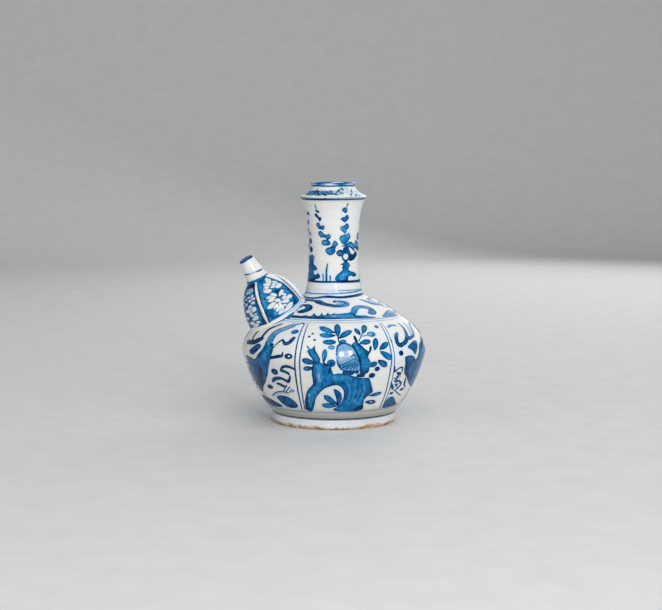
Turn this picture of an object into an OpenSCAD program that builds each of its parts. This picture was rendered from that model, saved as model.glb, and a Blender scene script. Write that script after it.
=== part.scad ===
// Kendi: a spouted porcelain drinking and pouring vessel with no handle.
// It is thrown and moulded in sections that are luted together with slip:
// foot ring, lower and upper body, neck, mouth flange, lip, spout bulb and nozzle.
// Origin at the centre of the foot, +Z up, spout towards -X. Millimetres.

/* [Foot] */
// Outer radius at the joint between foot ring and body
foot_r = 49.2; // [44:0.2:54]
// Height of the foot ring
foot_h = 8.6; // [7:0.1:12]
// Thickness of the foot ring at its top
foot_wall = 7; // [6:0.1:9]
// Width of the flat ring that the pot stands on
foot_land = 3; // [2:0.1:4]
// Height of the rounded bottom edge, outside and inside
foot_round = 2.8; // [1.5:0.1:4]
// Depth of the recess under the floor
recess_depth = 5.6; // [4:0.1:6.5]

/* [Body] */
// Radius at the girth, where the two halves of the body meet
belly_r = 73.1; // [66:0.1:80]
// Height of the lower half, from foot ring to girth
lower_h = 47.2; // [40:0.1:56]
// Radius of the break between panels and shoulder
shoulder_r = 52.5; // [49:0.1:58]
// Height from girth to that break
upper_h = 29; // [25:0.1:34]
// Height from that break to the seat of the neck
shoulder_h = 14.3; // [12:0.1:18]
// Thickness of the body wall
body_wall = 4.6; // [3.5:0.1:5.5]
// Thickness of the floor
floor_t = 5.4; // [4:0.1:7]
// Thickness of the slip smoothed over the girth seam inside
girth_lute_t = 1.2; // [0.8:0.1:2]

/* [Neck] */
// Radius of the neck where it stands on the shoulder
neck_base_r = 22.2; // [20.5:0.1:24]
// Radius of the neck at its waist
neck_waist_r = 19.9; // [18.5:0.1:21]
// Radius under the flange
neck_top_r = 26.2; // [24:0.1:29]
// Height of the neck from shoulder to flange
neck_h = 78.7; // [65:0.1:92]
// Radius of the straight channel through neck and mouth
neck_bore_r = 15; // [12:0.1:16]
// Height of the slip fillet round the base of the neck
neck_lute_h = 6.5; // [4:0.1:9]
// Width of that fillet on the shoulder
neck_lute_w = 5.2; // [4:0.1:6.5]

/* [Mouth] */
// Radius of the sharp edge of the flange
flange_r = 26.6; // [24.5:0.1:30]
// Thickness of the flange at its edge
flange_edge_t = 1.4; // [1:0.1:2.5]
// Height of the flange from neck to lip
flange_h = 8.6; // [7:0.1:11]
// Radius of the groove under the lip
lip_groove_r = 17.3; // [16.9:0.1:18.5]
// Height of the lip above the flange
lip_h = 3.6; // [3:0.1:5]
// Radius of the rounded bead along the lip
lip_bead_r = 1.4; // [1:0.1:1.8]

/* [Spout] */
// Lean of the spout from upright, in degrees
spout_tilt = 30; // [24:0.5:36]
// Distance from the pot's axis to the spout's axis where it leaves the shoulder
spout_seat_r = 46.8; // [45:0.1:49]
// Length along the axis from shoulder to tip
spout_l = 48.4; // [44:0.1:54]
// Radius at the tip
tip_r = 5.7; // [5:0.1:6.5]
// Radius of the nozzle where its straight taper ends
nozzle_r = 8.3; // [7.6:0.1:9]
// Length of that taper from the tip
nozzle_l = 16.6; // [13:0.1:19]
// Radius of the collar between nozzle and bulb
collar_r = 9.3; // [8.8:0.1:10]
// Height of the collar
collar_h = 2.6; // [2:0.1:4]
// Radius of the bulb where it swells most
bulb_r = 24.6; // [22:0.1:26]
// Length of the bulb from collar to its widest ring
bulb_l = 27.8; // [25:0.1:31]
// Thickness of the bulb's wall
bulb_wall = 3.4; // [2.6:0.1:4]
// Radius of the pouring channel
spout_bore_r = 3; // [2.5:0.1:3.5]
// Radius of the hole pierced through the shoulder behind the spout
spout_hole_r = 4; // [3:0.1:5]
// Number of ribs that divide the bulb into lobes
rib_count = 4; // [3:1:6]
// Turn of the ribs round the spout, in degrees
rib_turn = 57.5; // [0:0.5:90]
// Width of a rib as an angle about the spout's axis, in degrees
rib_angle = 7; // [4:0.5:10]
// Height of a rib above the bulb
rib_t = 0.8; // [0.4:0.1:1.2]
// Height of the slip bead round the foot of the spout, above the shoulder
spout_lute_h = 2; // [1:0.1:3]
// Width of that bead, out from the bulb
spout_lute_w = 1.8; // [1.2:0.1:2.5]

/* [Hidden] */
$fn = 120;
glaze = [0.90, 0.92, 0.94];
slip = [0.86, 0.87, 0.86];
biscuit = [0.80, 0.69, 0.56];
steps = 16;
arc_steps = 8;

// Heights above the table, each built on the one below
belly_z = foot_h + lower_h;
shoulder_z = belly_z + upper_h;
seat_z = shoulder_z + shoulder_h;
flange_z = seat_z + neck_h;
lip_z = flange_z + flange_h;
seat_r = neck_base_r + neck_lute_w;
floor_z = recess_depth + floor_t;

// Point, direction and inward offset on a cubic curve with four control points
function cubic(p, t) = p[0]*pow(1 - t, 3) + 3*p[1]*t*pow(1 - t, 2) + 3*p[2]*t*t*(1 - t) + p[3]*pow(t, 3);
function heading(p, t) = (p[1] - p[0])*pow(1 - t, 2) + 2*(p[2] - p[1])*t*(1 - t) + (p[3] - p[2])*t*t;
function left_of(d) = [-d[1], d[0]]/norm(d);
function beside(p, t, w) = cubic(p, t) + w*left_of(heading(p, t));
function curve(p, w = 0, from = 0, to = 1) = [for (i = [0:steps]) beside(p, from + (to - from)*i/steps, w)];
function between(a, b, along, up) = [a[0] + along*(b[0] - a[0]), a[1] + up*(b[1] - a[1])];
function arc(c, r, from, to) = [for (i = [0:arc_steps]) let (a = from + (to - from)*i/arc_steps) c + r*[cos(a), sin(a)]];
function reversed(list) = [for (i = [len(list) - 1:-1:0]) list[i]];
function without_last(list) = [for (i = [0:len(list) - 2]) list[i]];
function without_first(list) = [for (i = [1:len(list) - 1]) list[i]];

// Meridian curves of the body and the neck, from foot to flange, as [radius, height]
foot_joint = [foot_r, foot_h];
girth = [belly_r, belly_z];
shoulder_break = [shoulder_r, shoulder_z];
neck_seat = [seat_r, seat_z];
lower_curve = [foot_joint, between(foot_joint, girth, 0.64, 0.38), between(foot_joint, girth, 0.835, 0.70), girth];
upper_curve = [girth, between(girth, shoulder_break, -0.015, 0.49), between(girth, shoulder_break, 0.466, 0.78),
               shoulder_break];
shoulder_curve = [shoulder_break, between(shoulder_break, neck_seat, 0.25, 0.35),
                  between(shoulder_break, neck_seat, 0.615, 0.765), neck_seat];
neck_foot = [neck_base_r, seat_z + neck_lute_h];
neck_waist = [neck_waist_r, seat_z + 0.466*neck_h];
neck_top = [neck_top_r, flange_z];
neck_lower = [neck_foot, between(neck_foot, neck_waist, 0.7, 0.2), between(neck_foot, neck_waist, 1, 0.6), neck_waist];
neck_flare = [neck_waist, between(neck_waist, neck_top, 0, 0.455), between(neck_waist, neck_top, 0.175, 0.85), neck_top];

// The walls run parallel to the outside and meet on a level seam at the girth
girth_inside = [belly_r - body_wall, belly_z];
lower_inside = concat(without_last(curve(lower_curve, body_wall)), [girth_inside]);
upper_inside = concat([girth_inside], without_first(curve(upper_curve, body_wall)), curve(shoulder_curve, body_wall));
above_floor = [for (p = lower_inside) if (p[1] > floor_z + 1) p];
hole_underside_z = upper_inside[len(upper_inside) - 1][1];

// Spout axis: it leaves the shoulder at the seat radius and rises outwards to the tip
spout_seat_z = lookup(spout_seat_r, reversed(curve(shoulder_curve)));
tip_at = [-(spout_seat_r + spout_l*sin(spout_tilt)), 0, spout_seat_z + spout_l*cos(spout_tilt)];
bulb_top = -(nozzle_l + collar_h);
bulb_widest = [bulb_r, bulb_top - bulb_l];
bulb_start = [collar_r, bulb_top];
bulb_curve = [bulb_start, between(bulb_start, bulb_widest, 0.475, 0.18), between(bulb_start, bulb_widest, 0.87, 0.46),
              bulb_widest];
bulb_root = [bulb_r + 1, -spout_l - bulb_r];
throat_z = beside(bulb_curve, 0, -bulb_wall)[1];

// Everything inside the outer skin of the body, grown outwards by a margin
module body_fill(margin = 0) {
    rotate_extrude()
        polygon(concat([[0, foot_h]], curve(lower_curve, -margin), without_first(curve(upper_curve, -margin)),
                       without_first(curve(shoulder_curve, -margin)), [[0, seat_z + margin]]));
}

// The neck with its fillet as a plug, for pieces that stop against it
module neck_fill() {
    rotate_extrude()
        polygon(concat([[0, seat_z], neck_seat], without_first(curve(neck_fillet())), curve(neck_lower), [[0, neck_waist[1]]]));
}

// Hollow curve of the fillet from shoulder up to neck
function neck_fillet() = [neck_seat, between(neck_seat, neck_foot, 0.53, 0.15), between(neck_seat, neck_foot, 0.95, 0.48),
                          neck_foot];

// Moves its children from the spout's own frame, with the tip at the origin, to the shoulder
module on_spout() {
    translate(tip_at) rotate([0, -spout_tilt, 0]) children();
}

// Outside of the bulb down into the shoulder, moved outwards by a margin
function bulb_outside(margin = 0) = concat(curve(bulb_curve, margin), [bulb_root + [margin, 0]]);

module foot_ring() {
    inner_r = foot_r - foot_wall;
    land_r = inner_r + (foot_wall - foot_land)/2;
    color(biscuit)
        rotate_extrude()
            polygon(concat([[land_r, 0], [land_r + foot_land, 0]],
                           curve([[land_r + foot_land, 0], [foot_r - 0.9, 0.2*foot_round], [foot_r - 0.2, 0.5*foot_round],
                                  [foot_r - 0.1, foot_round]], 0, 1/steps),
                           [foot_joint, [inner_r, foot_h], [inner_r, foot_round]]));
}

module lower_body() {
    plug_r = foot_r - foot_wall;
    color(glaze)
        rotate_extrude()
            polygon(concat([[0, recess_depth], [plug_r, recess_depth], [plug_r, foot_h]], curve(lower_curve),
                           reversed(above_floor), [[above_floor[0][0] - 1.5, floor_z], [0, floor_z]]));
}

module upper_body() {
    color(glaze)
        difference() {
            rotate_extrude()
                polygon(concat(curve(upper_curve), without_first(curve(shoulder_curve)),
                               [[neck_bore_r, seat_z], [neck_bore_r, hole_underside_z]], reversed(upper_inside)));
            on_spout() translate([0, 0, -spout_l - 2*body_wall]) cylinder(h = 3*body_wall, r = spout_hole_r);
        }
}

// Slip smoothed over the seam inside: two steps of the wall below the girth and three above it
module girth_lute() {
    seam = concat([for (i = [steps - 2:steps]) lower_inside[i]], [for (i = [1:3]) upper_inside[i]]);
    middle = [belly_r - body_wall - girth_lute_t, belly_z];
    color(slip) rotate_extrude() polygon(concat(seam, [middle]));
}

module neck() {
    color(glaze)
        rotate_extrude()
            polygon(concat([[neck_bore_r, seat_z], [neck_base_r, seat_z]], curve(neck_lower), without_first(curve(neck_flare)),
                           [[neck_bore_r, flange_z]]));
}

module neck_lute() {
    color(slip) rotate_extrude() polygon(concat([[neck_base_r, seat_z]], curve(neck_fillet())));
}

module mouth_flange() {
    edge = [flange_r, flange_z + flange_edge_t/2];
    rim = [flange_r - 0.4, flange_z + flange_edge_t];
    groove = [lip_groove_r, lip_z];
    color(glaze)
        rotate_extrude()
            polygon(concat([[neck_bore_r, flange_z], [neck_top_r, flange_z], edge],
                           curve([rim, between(rim, groove, 0.52, 0.33), between(rim, groove, 0.92, 0.58), groove]),
                           [[neck_bore_r, lip_z]]));
}

module lip_ring() {
    bead = [neck_bore_r + lip_bead_r, lip_z + lip_h - lip_bead_r];
    color(glaze)
        rotate_extrude()
            polygon(concat([[neck_bore_r, lip_z], [lip_groove_r, lip_z]], arc(bead, lip_bead_r, -40, 180)));
}

module spout_nozzle() {
    tip_round = 0.9;
    color(glaze)
        on_spout()
            rotate_extrude()
                polygon([[spout_bore_r, bulb_top], [collar_r, bulb_top], [collar_r - 0.3, -nozzle_l - 0.4], [nozzle_r, -nozzle_l],
                         [tip_r, -tip_round], [tip_r - 0.3*tip_round, -0.3*tip_round], [tip_r - tip_round, 0], [spout_bore_r, 0]]);
}

module spout_bulb() {
    cavity = concat(curve(bulb_curve, -bulb_wall), [bulb_root - [bulb_wall, 0]]);
    color(glaze)
        difference() {
            on_spout()
                rotate_extrude()
                    polygon(concat([[spout_bore_r, bulb_top]], bulb_outside(), reversed(cavity), [[spout_bore_r, throat_z]]));
            body_fill();
            neck_fill();
        }
}

module spout_ribs() {
    color(glaze)
        difference() {
            on_spout()
                for (i = [0:rib_count - 1])
                    rotate([0, 0, rib_turn + i*360/rib_count])
                        rotate_extrude(angle = rib_angle)
                            polygon(concat(bulb_outside(), reversed(bulb_outside(rib_t))));
            body_fill(spout_lute_h);
            neck_fill();
        }
}

// The bead runs out against the fillet of the neck, so it is open on that side
module spout_lute() {
    color(slip)
        difference() {
            intersection() {
                on_spout() rotate_extrude() polygon(concat(bulb_outside(), reversed(bulb_outside(spout_lute_w))));
                body_fill(spout_lute_h);
            }
            body_fill();
            cylinder(h = neck_waist[1], r = seat_r);
        }
}

foot_ring();
lower_body();
upper_body();
girth_lute();
neck();
neck_lute();
mouth_flange();
lip_ring();
spout_bulb();
spout_nozzle();
spout_ribs();
spout_lute();
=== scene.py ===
"""Blue-and-white porcelain kendi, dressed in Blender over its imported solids.

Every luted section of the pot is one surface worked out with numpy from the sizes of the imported
solids. The painting is a set of brush marks on the unrolled wall: the distance to each mark, in
millimetres, is stored at the vertices, and the glaze material turns that distance into cobalt.
"""

import logging
import math
from dataclasses import dataclass, field
from enum import Enum
from typing import Iterable, Sequence

import bpy
import numpy as np
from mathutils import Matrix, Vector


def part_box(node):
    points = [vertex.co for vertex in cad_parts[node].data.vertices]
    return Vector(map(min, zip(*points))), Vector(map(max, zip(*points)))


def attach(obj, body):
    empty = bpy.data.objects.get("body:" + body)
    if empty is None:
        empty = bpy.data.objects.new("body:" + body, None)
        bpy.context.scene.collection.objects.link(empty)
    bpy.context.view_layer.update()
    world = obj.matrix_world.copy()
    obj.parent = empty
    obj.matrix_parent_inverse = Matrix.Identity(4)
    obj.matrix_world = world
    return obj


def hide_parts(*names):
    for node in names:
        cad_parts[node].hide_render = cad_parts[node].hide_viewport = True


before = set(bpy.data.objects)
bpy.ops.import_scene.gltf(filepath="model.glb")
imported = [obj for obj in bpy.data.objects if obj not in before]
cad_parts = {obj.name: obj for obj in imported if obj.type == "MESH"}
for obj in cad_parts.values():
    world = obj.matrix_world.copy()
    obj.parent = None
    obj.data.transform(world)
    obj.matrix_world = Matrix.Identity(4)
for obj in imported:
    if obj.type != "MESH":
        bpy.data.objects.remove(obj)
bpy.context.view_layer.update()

LOG = logging.getLogger("kendi")
MM = 0.001
BODY = "root"

# Painting in millimetres: farthest distance kept, margin of a mark, soft edge of a shade, gap of petals.
FAR_MM = 4.0
REACH_MM = 2.5
SOFT_MM = 1.8
PART_MM = 0.24

# Sway of a repeated copy, for each millimetre up and each degree round.
SWAY_UP = 0.17
SWAY_ROUND = 0.21

# Shapes of the marks, and steps of their curves.
LEAF_ENDS = (0.04, 0.95)
LEAF_STEPS = 8
LEAF_LEAN = 1.5
OVAL_STEPS = 10
BAND_STEPS = 25
EASE_STEPS = 4
CURVE_STEPS = 240

CREASE_DEG = 40.0
TINY = 1e-9
NO_ROWS = np.zeros((0, 2))

Point = tuple[float, float]
Place = tuple[float, float, float]
Colour = tuple[float, float, float, float]
Piece = bpy.types.Object
Material = bpy.types.Material
Socket = bpy.types.NodeSocket


def srgb(red: int, green: int, blue: int) -> Colour:
    """Linear red, green and blue of a display colour in steps of 0 to 255, with an alpha of one."""
    share = np.array([red, green, blue]) / 255.0
    linear = np.where(share <= 0.04045, share / 12.92, ((share + 0.055) / 1.055) ** 2.4)
    return (float(linear[0]), float(linear[1]), float(linear[2]), 1.0)


def between(start: Point, end: Point, along: float, up: float) -> Point:
    """Point that lies a share of the way along the radius and a share of the way up."""
    return (start[0] + along * (end[0] - start[0]), start[1] + up * (end[1] - start[1]))


def smooth_step(values: np.ndarray) -> np.ndarray:
    """Eases a share from 0 to 1 with flat ends: three squares less two cubes."""
    share = np.clip(values, 0.0, 1.0)
    return share * share * (3.0 - 2.0 * share)


class Ink(Enum):
    """Layers of the painting: distances to the marks in millimetres, and strengths of the cobalt."""

    WASH = "ink_wash"
    LINE = "ink_line"
    SPARE = "ink_spare"
    TONE = "ink_tone"
    SHADE = "ink_shade"

    @property
    def bare(self) -> float:
        """Value where nothing is painted."""
        return 0.0 if self in (Ink.TONE, Ink.SHADE) else FAR_MM


class Brush(Enum):
    """Loads of the brush: the layer that a mark goes on, and its strength there."""

    MIST = (Ink.WASH, 0.10)
    TINT = (Ink.WASH, 0.20)
    PALE = (Ink.WASH, 0.34)
    HALF = (Ink.WASH, 0.48)
    MID = (Ink.WASH, 0.62)
    DEEP = (Ink.WASH, 0.75)
    DARK = (Ink.WASH, 0.90)
    LINE = (Ink.LINE, 1.0)
    SPARE = (Ink.SPARE, 0.0)
    SHADE = (Ink.SHADE, 0.20)
    GLOW = (Ink.SHADE, -0.17)


MIST, TINT, PALE, HALF, MID, DEEP, DARK, LINE, SPARE, SHADE, GLOW = Brush


class Meridian:
    """A curve of radius and height in millimetres, measured along its own length."""

    def __init__(self, points: np.ndarray, runs_down: bool = False) -> None:
        """Keeps the points of the curve and adds up the steps between them.

        Args:
            points: radius and height of each point, in order.
            runs_down: whether the curve runs downwards, so that outside lies to its left.
        """
        steps = np.hypot(*np.diff(points, axis=0).T)
        kept = np.concatenate([[True], steps > TINY])
        self.points = points[kept]
        self.lengths = np.concatenate([[0.0], np.cumsum(steps[steps > TINY])])
        headings = np.gradient(self.points, self.lengths, axis=0)
        headings /= np.hypot(headings[:, 0], headings[:, 1])[:, None]
        side = -1.0 if runs_down else 1.0
        self.normals = side * np.column_stack([headings[:, 1], -headings[:, 0]])

    @classmethod
    def through(cls, *curves: Sequence[Point], runs_down: bool = False) -> "Meridian":
        """Curve made of cubic arcs in a row, each with two ends and two handles."""
        t = np.linspace(0.0, 1.0, CURVE_STEPS)[:, None]
        weights = np.hstack([(1 - t) ** 3, 3 * t * (1 - t) ** 2, 3 * t * t * (1 - t), t**3])
        return cls(np.vstack([weights @ np.array(curve, float) for curve in curves]), runs_down)

    @property
    def length(self) -> float:
        """Whole length of the curve."""
        return float(self.lengths[-1])

    def at(self, along: np.ndarray, proud: np.ndarray | float = 0.0) -> np.ndarray:
        """Points at lengths along the curve, moved outwards along the normal.

        Args:
            along: lengths from the start of the curve.
            proud: distance outside the curve.

        Returns:
            Radius and height in the last axis.
        """
        centre = self._look_up(self.points, along)
        normal = self._look_up(self.normals, along)
        return centre + normal * np.asarray(proud)[..., None]

    def _look_up(self, table: np.ndarray, along: np.ndarray) -> np.ndarray:
        """Two columns of a table, each looked up at lengths along the curve."""
        return np.stack([np.interp(along, self.lengths, table[:, i]) for i in (0, 1)], axis=-1)

    def length_at_height(self, height: np.ndarray) -> np.ndarray:
        """Length along the curve at a height, where the heights only fall or only rise."""
        heights = self.points[:, 1]
        order = np.argsort(heights)
        return np.interp(height, heights[order], self.lengths[order])

    def radius_at_height(self, height: np.ndarray) -> np.ndarray:
        """Radius at a height, where the heights only fall or only rise."""
        order = np.argsort(self.points[:, 1])
        return np.interp(height, self.points[order, 1], self.points[order, 0])


@dataclass(frozen=True)
class PotSizes:
    """Main sizes of the pot in millimetres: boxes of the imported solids, and the curves between."""

    foot_r: float
    foot_h: float
    belly_r: float
    belly_z: float
    seat_r: float
    seat_z: float
    neck_foot_z: float
    neck_top_r: float
    flange_z: float
    flange_r: float
    lip_z: float
    top_z: float
    lip_r: float
    break_r: float = 52.5
    break_z: float = 84.8
    neck_base_r: float = 22.2
    neck_waist_r: float = 19.9
    waist_share: float = 0.466
    bore_r: float = 15.0
    wall: float = 4.6

    @classmethod
    def measured(cls) -> "PotSizes":
        """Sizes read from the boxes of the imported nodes.

        Returns:
            The sizes in millimetres.
        """
        high = {name: np.array(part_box(name)[1]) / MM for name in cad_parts}
        low = {name: np.array(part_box(name)[0]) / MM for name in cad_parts}
        wide = {name: float(max(high[name][0], high[name][1])) for name in high}
        return cls(
            foot_r=wide["foot_ring"],
            foot_h=float(high["foot_ring"][2]),
            belly_r=wide["lower_body"],
            belly_z=float(high["lower_body"][2]),
            seat_r=wide["neck_lute"],
            seat_z=float(low["neck"][2]),
            neck_foot_z=float(high["neck_lute"][2]),
            neck_top_r=wide["neck"],
            flange_z=float(high["neck"][2]),
            flange_r=wide["mouth_flange"],
            lip_z=float(low["lip_ring"][2]),
            top_z=float(high["lip_ring"][2]),
            lip_r=wide["lip_ring"],
        )

    def lower_wall(self) -> Meridian:
        """Outside of the lower body, from the foot joint up to the girth."""
        foot = (self.foot_r, self.foot_h)
        girth = (self.belly_r, self.belly_z)
        return Meridian.through(
            [foot, between(foot, girth, 0.64, 0.38), between(foot, girth, 0.835, 0.70), girth]
        )

    def upper_wall(self) -> Meridian:
        """Outside of the upper body, from the girth over the break to the seat of the neck."""
        girth = (self.belly_r, self.belly_z)
        edge = (self.break_r, self.break_z)
        seat = (self.seat_r, self.seat_z)
        return Meridian.through(
            [girth, between(girth, edge, -0.015, 0.49), between(girth, edge, 0.466, 0.78), edge],
            [edge, between(edge, seat, 0.25, 0.35), between(edge, seat, 0.615, 0.765), seat],
        )

    def fillet(self) -> Meridian:
        """Hollow curve of slip from the shoulder up to the neck."""
        seat = (self.seat_r, self.seat_z)
        foot = (self.neck_base_r, self.neck_foot_z)
        handles = (between(seat, foot, 0.53, 0.15), between(seat, foot, 0.95, 0.48))
        return Meridian.through([seat, *handles, foot])

    def neck_wall(self) -> Meridian:
        """Outside of the neck, from the top of the fillet over the waist to the flange."""
        foot = (self.neck_base_r, self.neck_foot_z)
        waist = (self.neck_waist_r, self.seat_z + self.waist_share * (self.flange_z - self.seat_z))
        top = (self.neck_top_r, self.flange_z)
        return Meridian.through(
            [foot, between(foot, waist, 0.7, 0.2), between(foot, waist, 1.0, 0.6), waist],
            [waist, between(waist, top, 0.0, 0.455), between(waist, top, 0.175, 0.85), top],
        )

    def outside(self) -> Meridian:
        """Whole outside of the pot from the foot joint to the flange, without the spout."""
        walls = (self.lower_wall(), self.upper_wall(), self.fillet(), self.neck_wall())
        return Meridian(np.vstack([wall.points for wall in walls]))


@dataclass(frozen=True)
class Mark:
    """One brush mark: points as degrees round and millimetres up, with widths, or none for a fill."""

    brush: Brush
    points: tuple[Point, ...]
    widths: tuple[float, ...] = ()

    def lay(self, layers: dict[Ink, np.ndarray], near: np.ndarray, reach: np.ndarray) -> None:
        """Lays the mark on its layer: a shade adds up softly, a wash sets the tone that it covers.

        A spared place keeps a thin edge of its own, which parts it from the ones below it.

        Args:
            layers: values of each layer so far, changed in place.
            near: which vertices lie near the mark.
            reach: distance of those vertices, below zero inside the mark.
        """
        ink, strength = self.brush.value
        if ink is Ink.SHADE:
            layers[ink][near] += strength * smooth_step(0.5 - 0.5 * reach / SOFT_MM)
            return
        if ink is Ink.WASH:
            over = (reach < layers[ink][near]) | (reach < 0.0)
            layers[Ink.TONE][near] = np.where(over, strength, layers[Ink.TONE][near])
        under = layers[ink][near]
        parted = PART_MM if ink is Ink.SPARE else -FAR_MM
        layers[ink][near] = np.where(reach < parted, reach, np.minimum(under, reach))


def fill(brush: Brush, *points: Point) -> Mark:
    """A closed outline flooded with cobalt."""
    return Mark(brush, tuple(points))


def stroke(brush: Brush, width: float | Sequence[float], *points: Point) -> Mark:
    """A brush stroke through points, with one full width in millimetres or a width at each point."""
    widths = [width] * len(points) if isinstance(width, (int, float)) else list(width)
    return Mark(brush, tuple(points), tuple(float(w) for w in widths))


def leaf(brush: Brush, base: Point, tip: Point, width: float, bend: float = 0.0) -> Mark:
    """A leaf pressed from a loaded brush: pointed at the base, fullest towards its far end.

    Args:
        brush: load of the brush.
        base: where the leaf joins its stem.
        tip: its far end.
        width: full width in millimetres.
        bend: sideways bow of the middle, as a share of the length.

    Returns:
        The mark, whose width is the square root of a sine that leans towards the tip.
    """
    share = np.linspace(*LEAF_ENDS, LEAF_STEPS)
    run = (tip[0] - base[0], tip[1] - base[1])
    bow = 4.0 * bend * share * (1.0 - share)
    round_deg = base[0] + share * run[0] - bow * run[1]
    up_mm = base[1] + share * run[1] + bow * run[0]
    widths = width * np.sqrt(np.sin(np.pi * share**LEAF_LEAN))
    return Mark(brush, tuple(zip(round_deg.tolist(), up_mm.tolist())), tuple(widths.tolist()))


def oval(brush: Brush, centre: Point, round_deg: float, up_mm: float, turn: float = 0.0) -> Mark:
    """A round dab with its half sizes in degrees round and millimetres up.

    Args:
        brush: load of the brush.
        centre: middle of the dab.
        round_deg: half width in degrees.
        up_mm: half height in millimetres.
        turn: shear of the dab, as a share of its half height.

    Returns:
        The mark as a closed outline.
    """
    angle = np.linspace(0.0, 2.0 * np.pi, OVAL_STEPS, endpoint=False)
    x = centre[0] + round_deg * np.cos(angle)
    y = centre[1] + up_mm * (np.sin(angle) + turn * np.cos(angle))
    return Mark(brush, tuple(zip(x.tolist(), y.tolist())))


def band(
    brush: Brush, width: float, height: float, sway: float = 0.0, waves: int = 2, lead: float = 40.0
) -> Mark:
    """A ring right round the wall, which sways gently up and down.

    Args:
        brush: load of the brush.
        width: full width in millimetres.
        height: height of the ring in millimetres.
        sway: how far it sways either way.
        waves: how often it sways round the wall.
        lead: how far the sway is ahead, in degrees.

    Returns:
        The mark, whose height follows a sine of those waves round the wall.
    """
    angle = np.linspace(-180.0, 180.0, BAND_STEPS)
    up = height + sway * np.sin(np.radians(waves * angle + lead))
    return Mark(brush, tuple(zip(angle.tolist(), up.tolist())), (width,) * len(angle))


def strokes(brush: Brush, *runs: tuple) -> tuple[Mark, ...]:
    """A stroke of one brush for each run, which is a width or widths and then the points."""
    return tuple(stroke(brush, *run) for run in runs)


def leaves(brush: Brush, *runs: tuple) -> tuple[Mark, ...]:
    """A leaf of one brush for each run of base, tip, width and bend."""
    return tuple(leaf(brush, *run) for run in runs)


def ovals(brush: Brush, *runs: tuple) -> tuple[Mark, ...]:
    """A dab of one brush for each run of centre, half sizes and shear."""
    return tuple(oval(brush, *run) for run in runs)


def petals(growth: float, runs: Iterable[tuple[Point, Point, float]]) -> tuple[Mark, ...]:
    """White leaves spared from the wash, each run a base, a tip and a width that is grown by a share."""
    return tuple(leaf(SPARE, base, tip, growth * width) for base, tip, width in runs)


@dataclass(frozen=True)
class Painting:
    """Marks that are repeated at a few turns round the wall, each copy a little different."""

    marks: tuple[Mark, ...]
    turns: tuple[float, ...] = (0.0,)
    drift: float = 0.25

    def lay_on(
        self, layers: dict[Ink, np.ndarray], angles: np.ndarray, heights: np.ndarray, wall: Meridian
    ) -> None:
        """Lays every copy of these marks on the layers.

        Args:
            layers: values of each layer so far, changed in place.
            angles: angle of each vertex in degrees.
            heights: length of each vertex along the wall in millimetres.
            wall: meridian that gives the radius at a length.
        """
        for turn in self.turns:
            sway = np.sin(SWAY_UP * heights + turn) + np.cos(SWAY_ROUND * angles + turn)
            shift = self.drift * sway if turn else 0.0 * heights
            for mark in self.marks:
                self._lay_mark(mark, turn, layers, angles, heights, shift, wall)

    def _lay_mark(
        self,
        mark: Mark,
        turn: float,
        layers: dict[Ink, np.ndarray],
        angles: np.ndarray,
        heights: np.ndarray,
        shift: np.ndarray,
        wall: Meridian,
    ) -> None:
        """Lays one copy of one mark on the vertices near it.

        Args:
            mark: the mark.
            turn: degrees that this copy is turned by.
            layers: values of each layer so far, changed in place.
            angles: angle of each vertex in degrees.
            heights: length of each vertex along the wall.
            shift: small sideways sway of this copy in millimetres.
            wall: meridian that gives the radius at a length.
        """
        path = eased(mark)
        middle = 0.5 * (path[:, :2].min(axis=0) + path[:, :2].max(axis=0))
        half = 0.5 * np.ptp(path[:, :2], axis=0)
        radius = float(wall.at(np.array([middle[1]]))[0, 0])
        scale = math.radians(1.0) * max(radius, 1.0)
        margin = REACH_MM + (max(mark.widths) if mark.widths else 0.0)
        offset = (angles - turn - middle[0] + 180.0) % 360.0 - 180.0
        beside = np.abs(offset) * scale < half[0] * scale + margin
        near = beside & (np.abs(heights - middle[1]) < half[1] + margin)
        if not near.any():
            return
        lead = np.column_stack([offset[near] * scale, heights[near] - middle[1]])
        path = path - np.array([middle[0], middle[1], 0.0])
        path[:, 0] *= scale
        measure = stroke_distance if mark.widths else flood_distance
        mark.lay(layers, near, measure(lead + shift[near][:, None], path))


def eased(mark: Mark) -> np.ndarray:
    """Smooth path of a mark: Catmull-Rom curves through its points, a few steps to each.

    Args:
        mark: the mark.

    Returns:
        Angle, height and half width of each point of the path; a fill comes back to its start.
    """
    widths = mark.widths or (0.0,) * len(mark.points)
    knots = np.column_stack([np.array(mark.points, float), 0.5 * np.array(widths)])
    if mark.widths:
        before = np.vstack([knots[:1], knots, knots[-1:]])
    else:
        before = np.vstack([knots[-1:], knots, knots[:2]])
    a, b, c, d = before[:-3], before[1:-2], before[2:-1], before[3:]
    t = np.linspace(0.0, 1.0, EASE_STEPS, endpoint=False)[:, None, None]
    bent = (2 * a - 5 * b + 4 * c - d) * t**2 + (3 * b - a - 3 * c + d) * t**3
    spans = 0.5 * (2 * b + (c - a) * t + bent)
    path = np.swapaxes(spans, 0, 1).reshape(-1, 3)
    end = knots[-1:] if mark.widths else path[:1]
    return np.vstack([path, end])


def stroke_distance(spots: np.ndarray, path: np.ndarray) -> np.ndarray:
    """Distance from spots to a stroke: the nearest stretch of path, less its half width there.

    Args:
        spots: places in millimetres.
        path: points of the path with half widths.

    Returns:
        Distance of each spot, below zero inside the stroke.
    """
    start, run = path[:-1], np.diff(path, axis=0)
    length = np.maximum((run[:, :2] ** 2).sum(axis=1), 1e-12)
    lead = spots[:, None, :] - start[None, :, :2]
    share = np.clip((lead * run[None, :, :2]).sum(axis=2) / length, 0.0, 1.0)
    gap = np.hypot(*np.moveaxis(lead - share[..., None] * run[None, :, :2], 2, 0))
    return (gap - start[:, 2] - share * run[:, 2]).min(axis=1)


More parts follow.
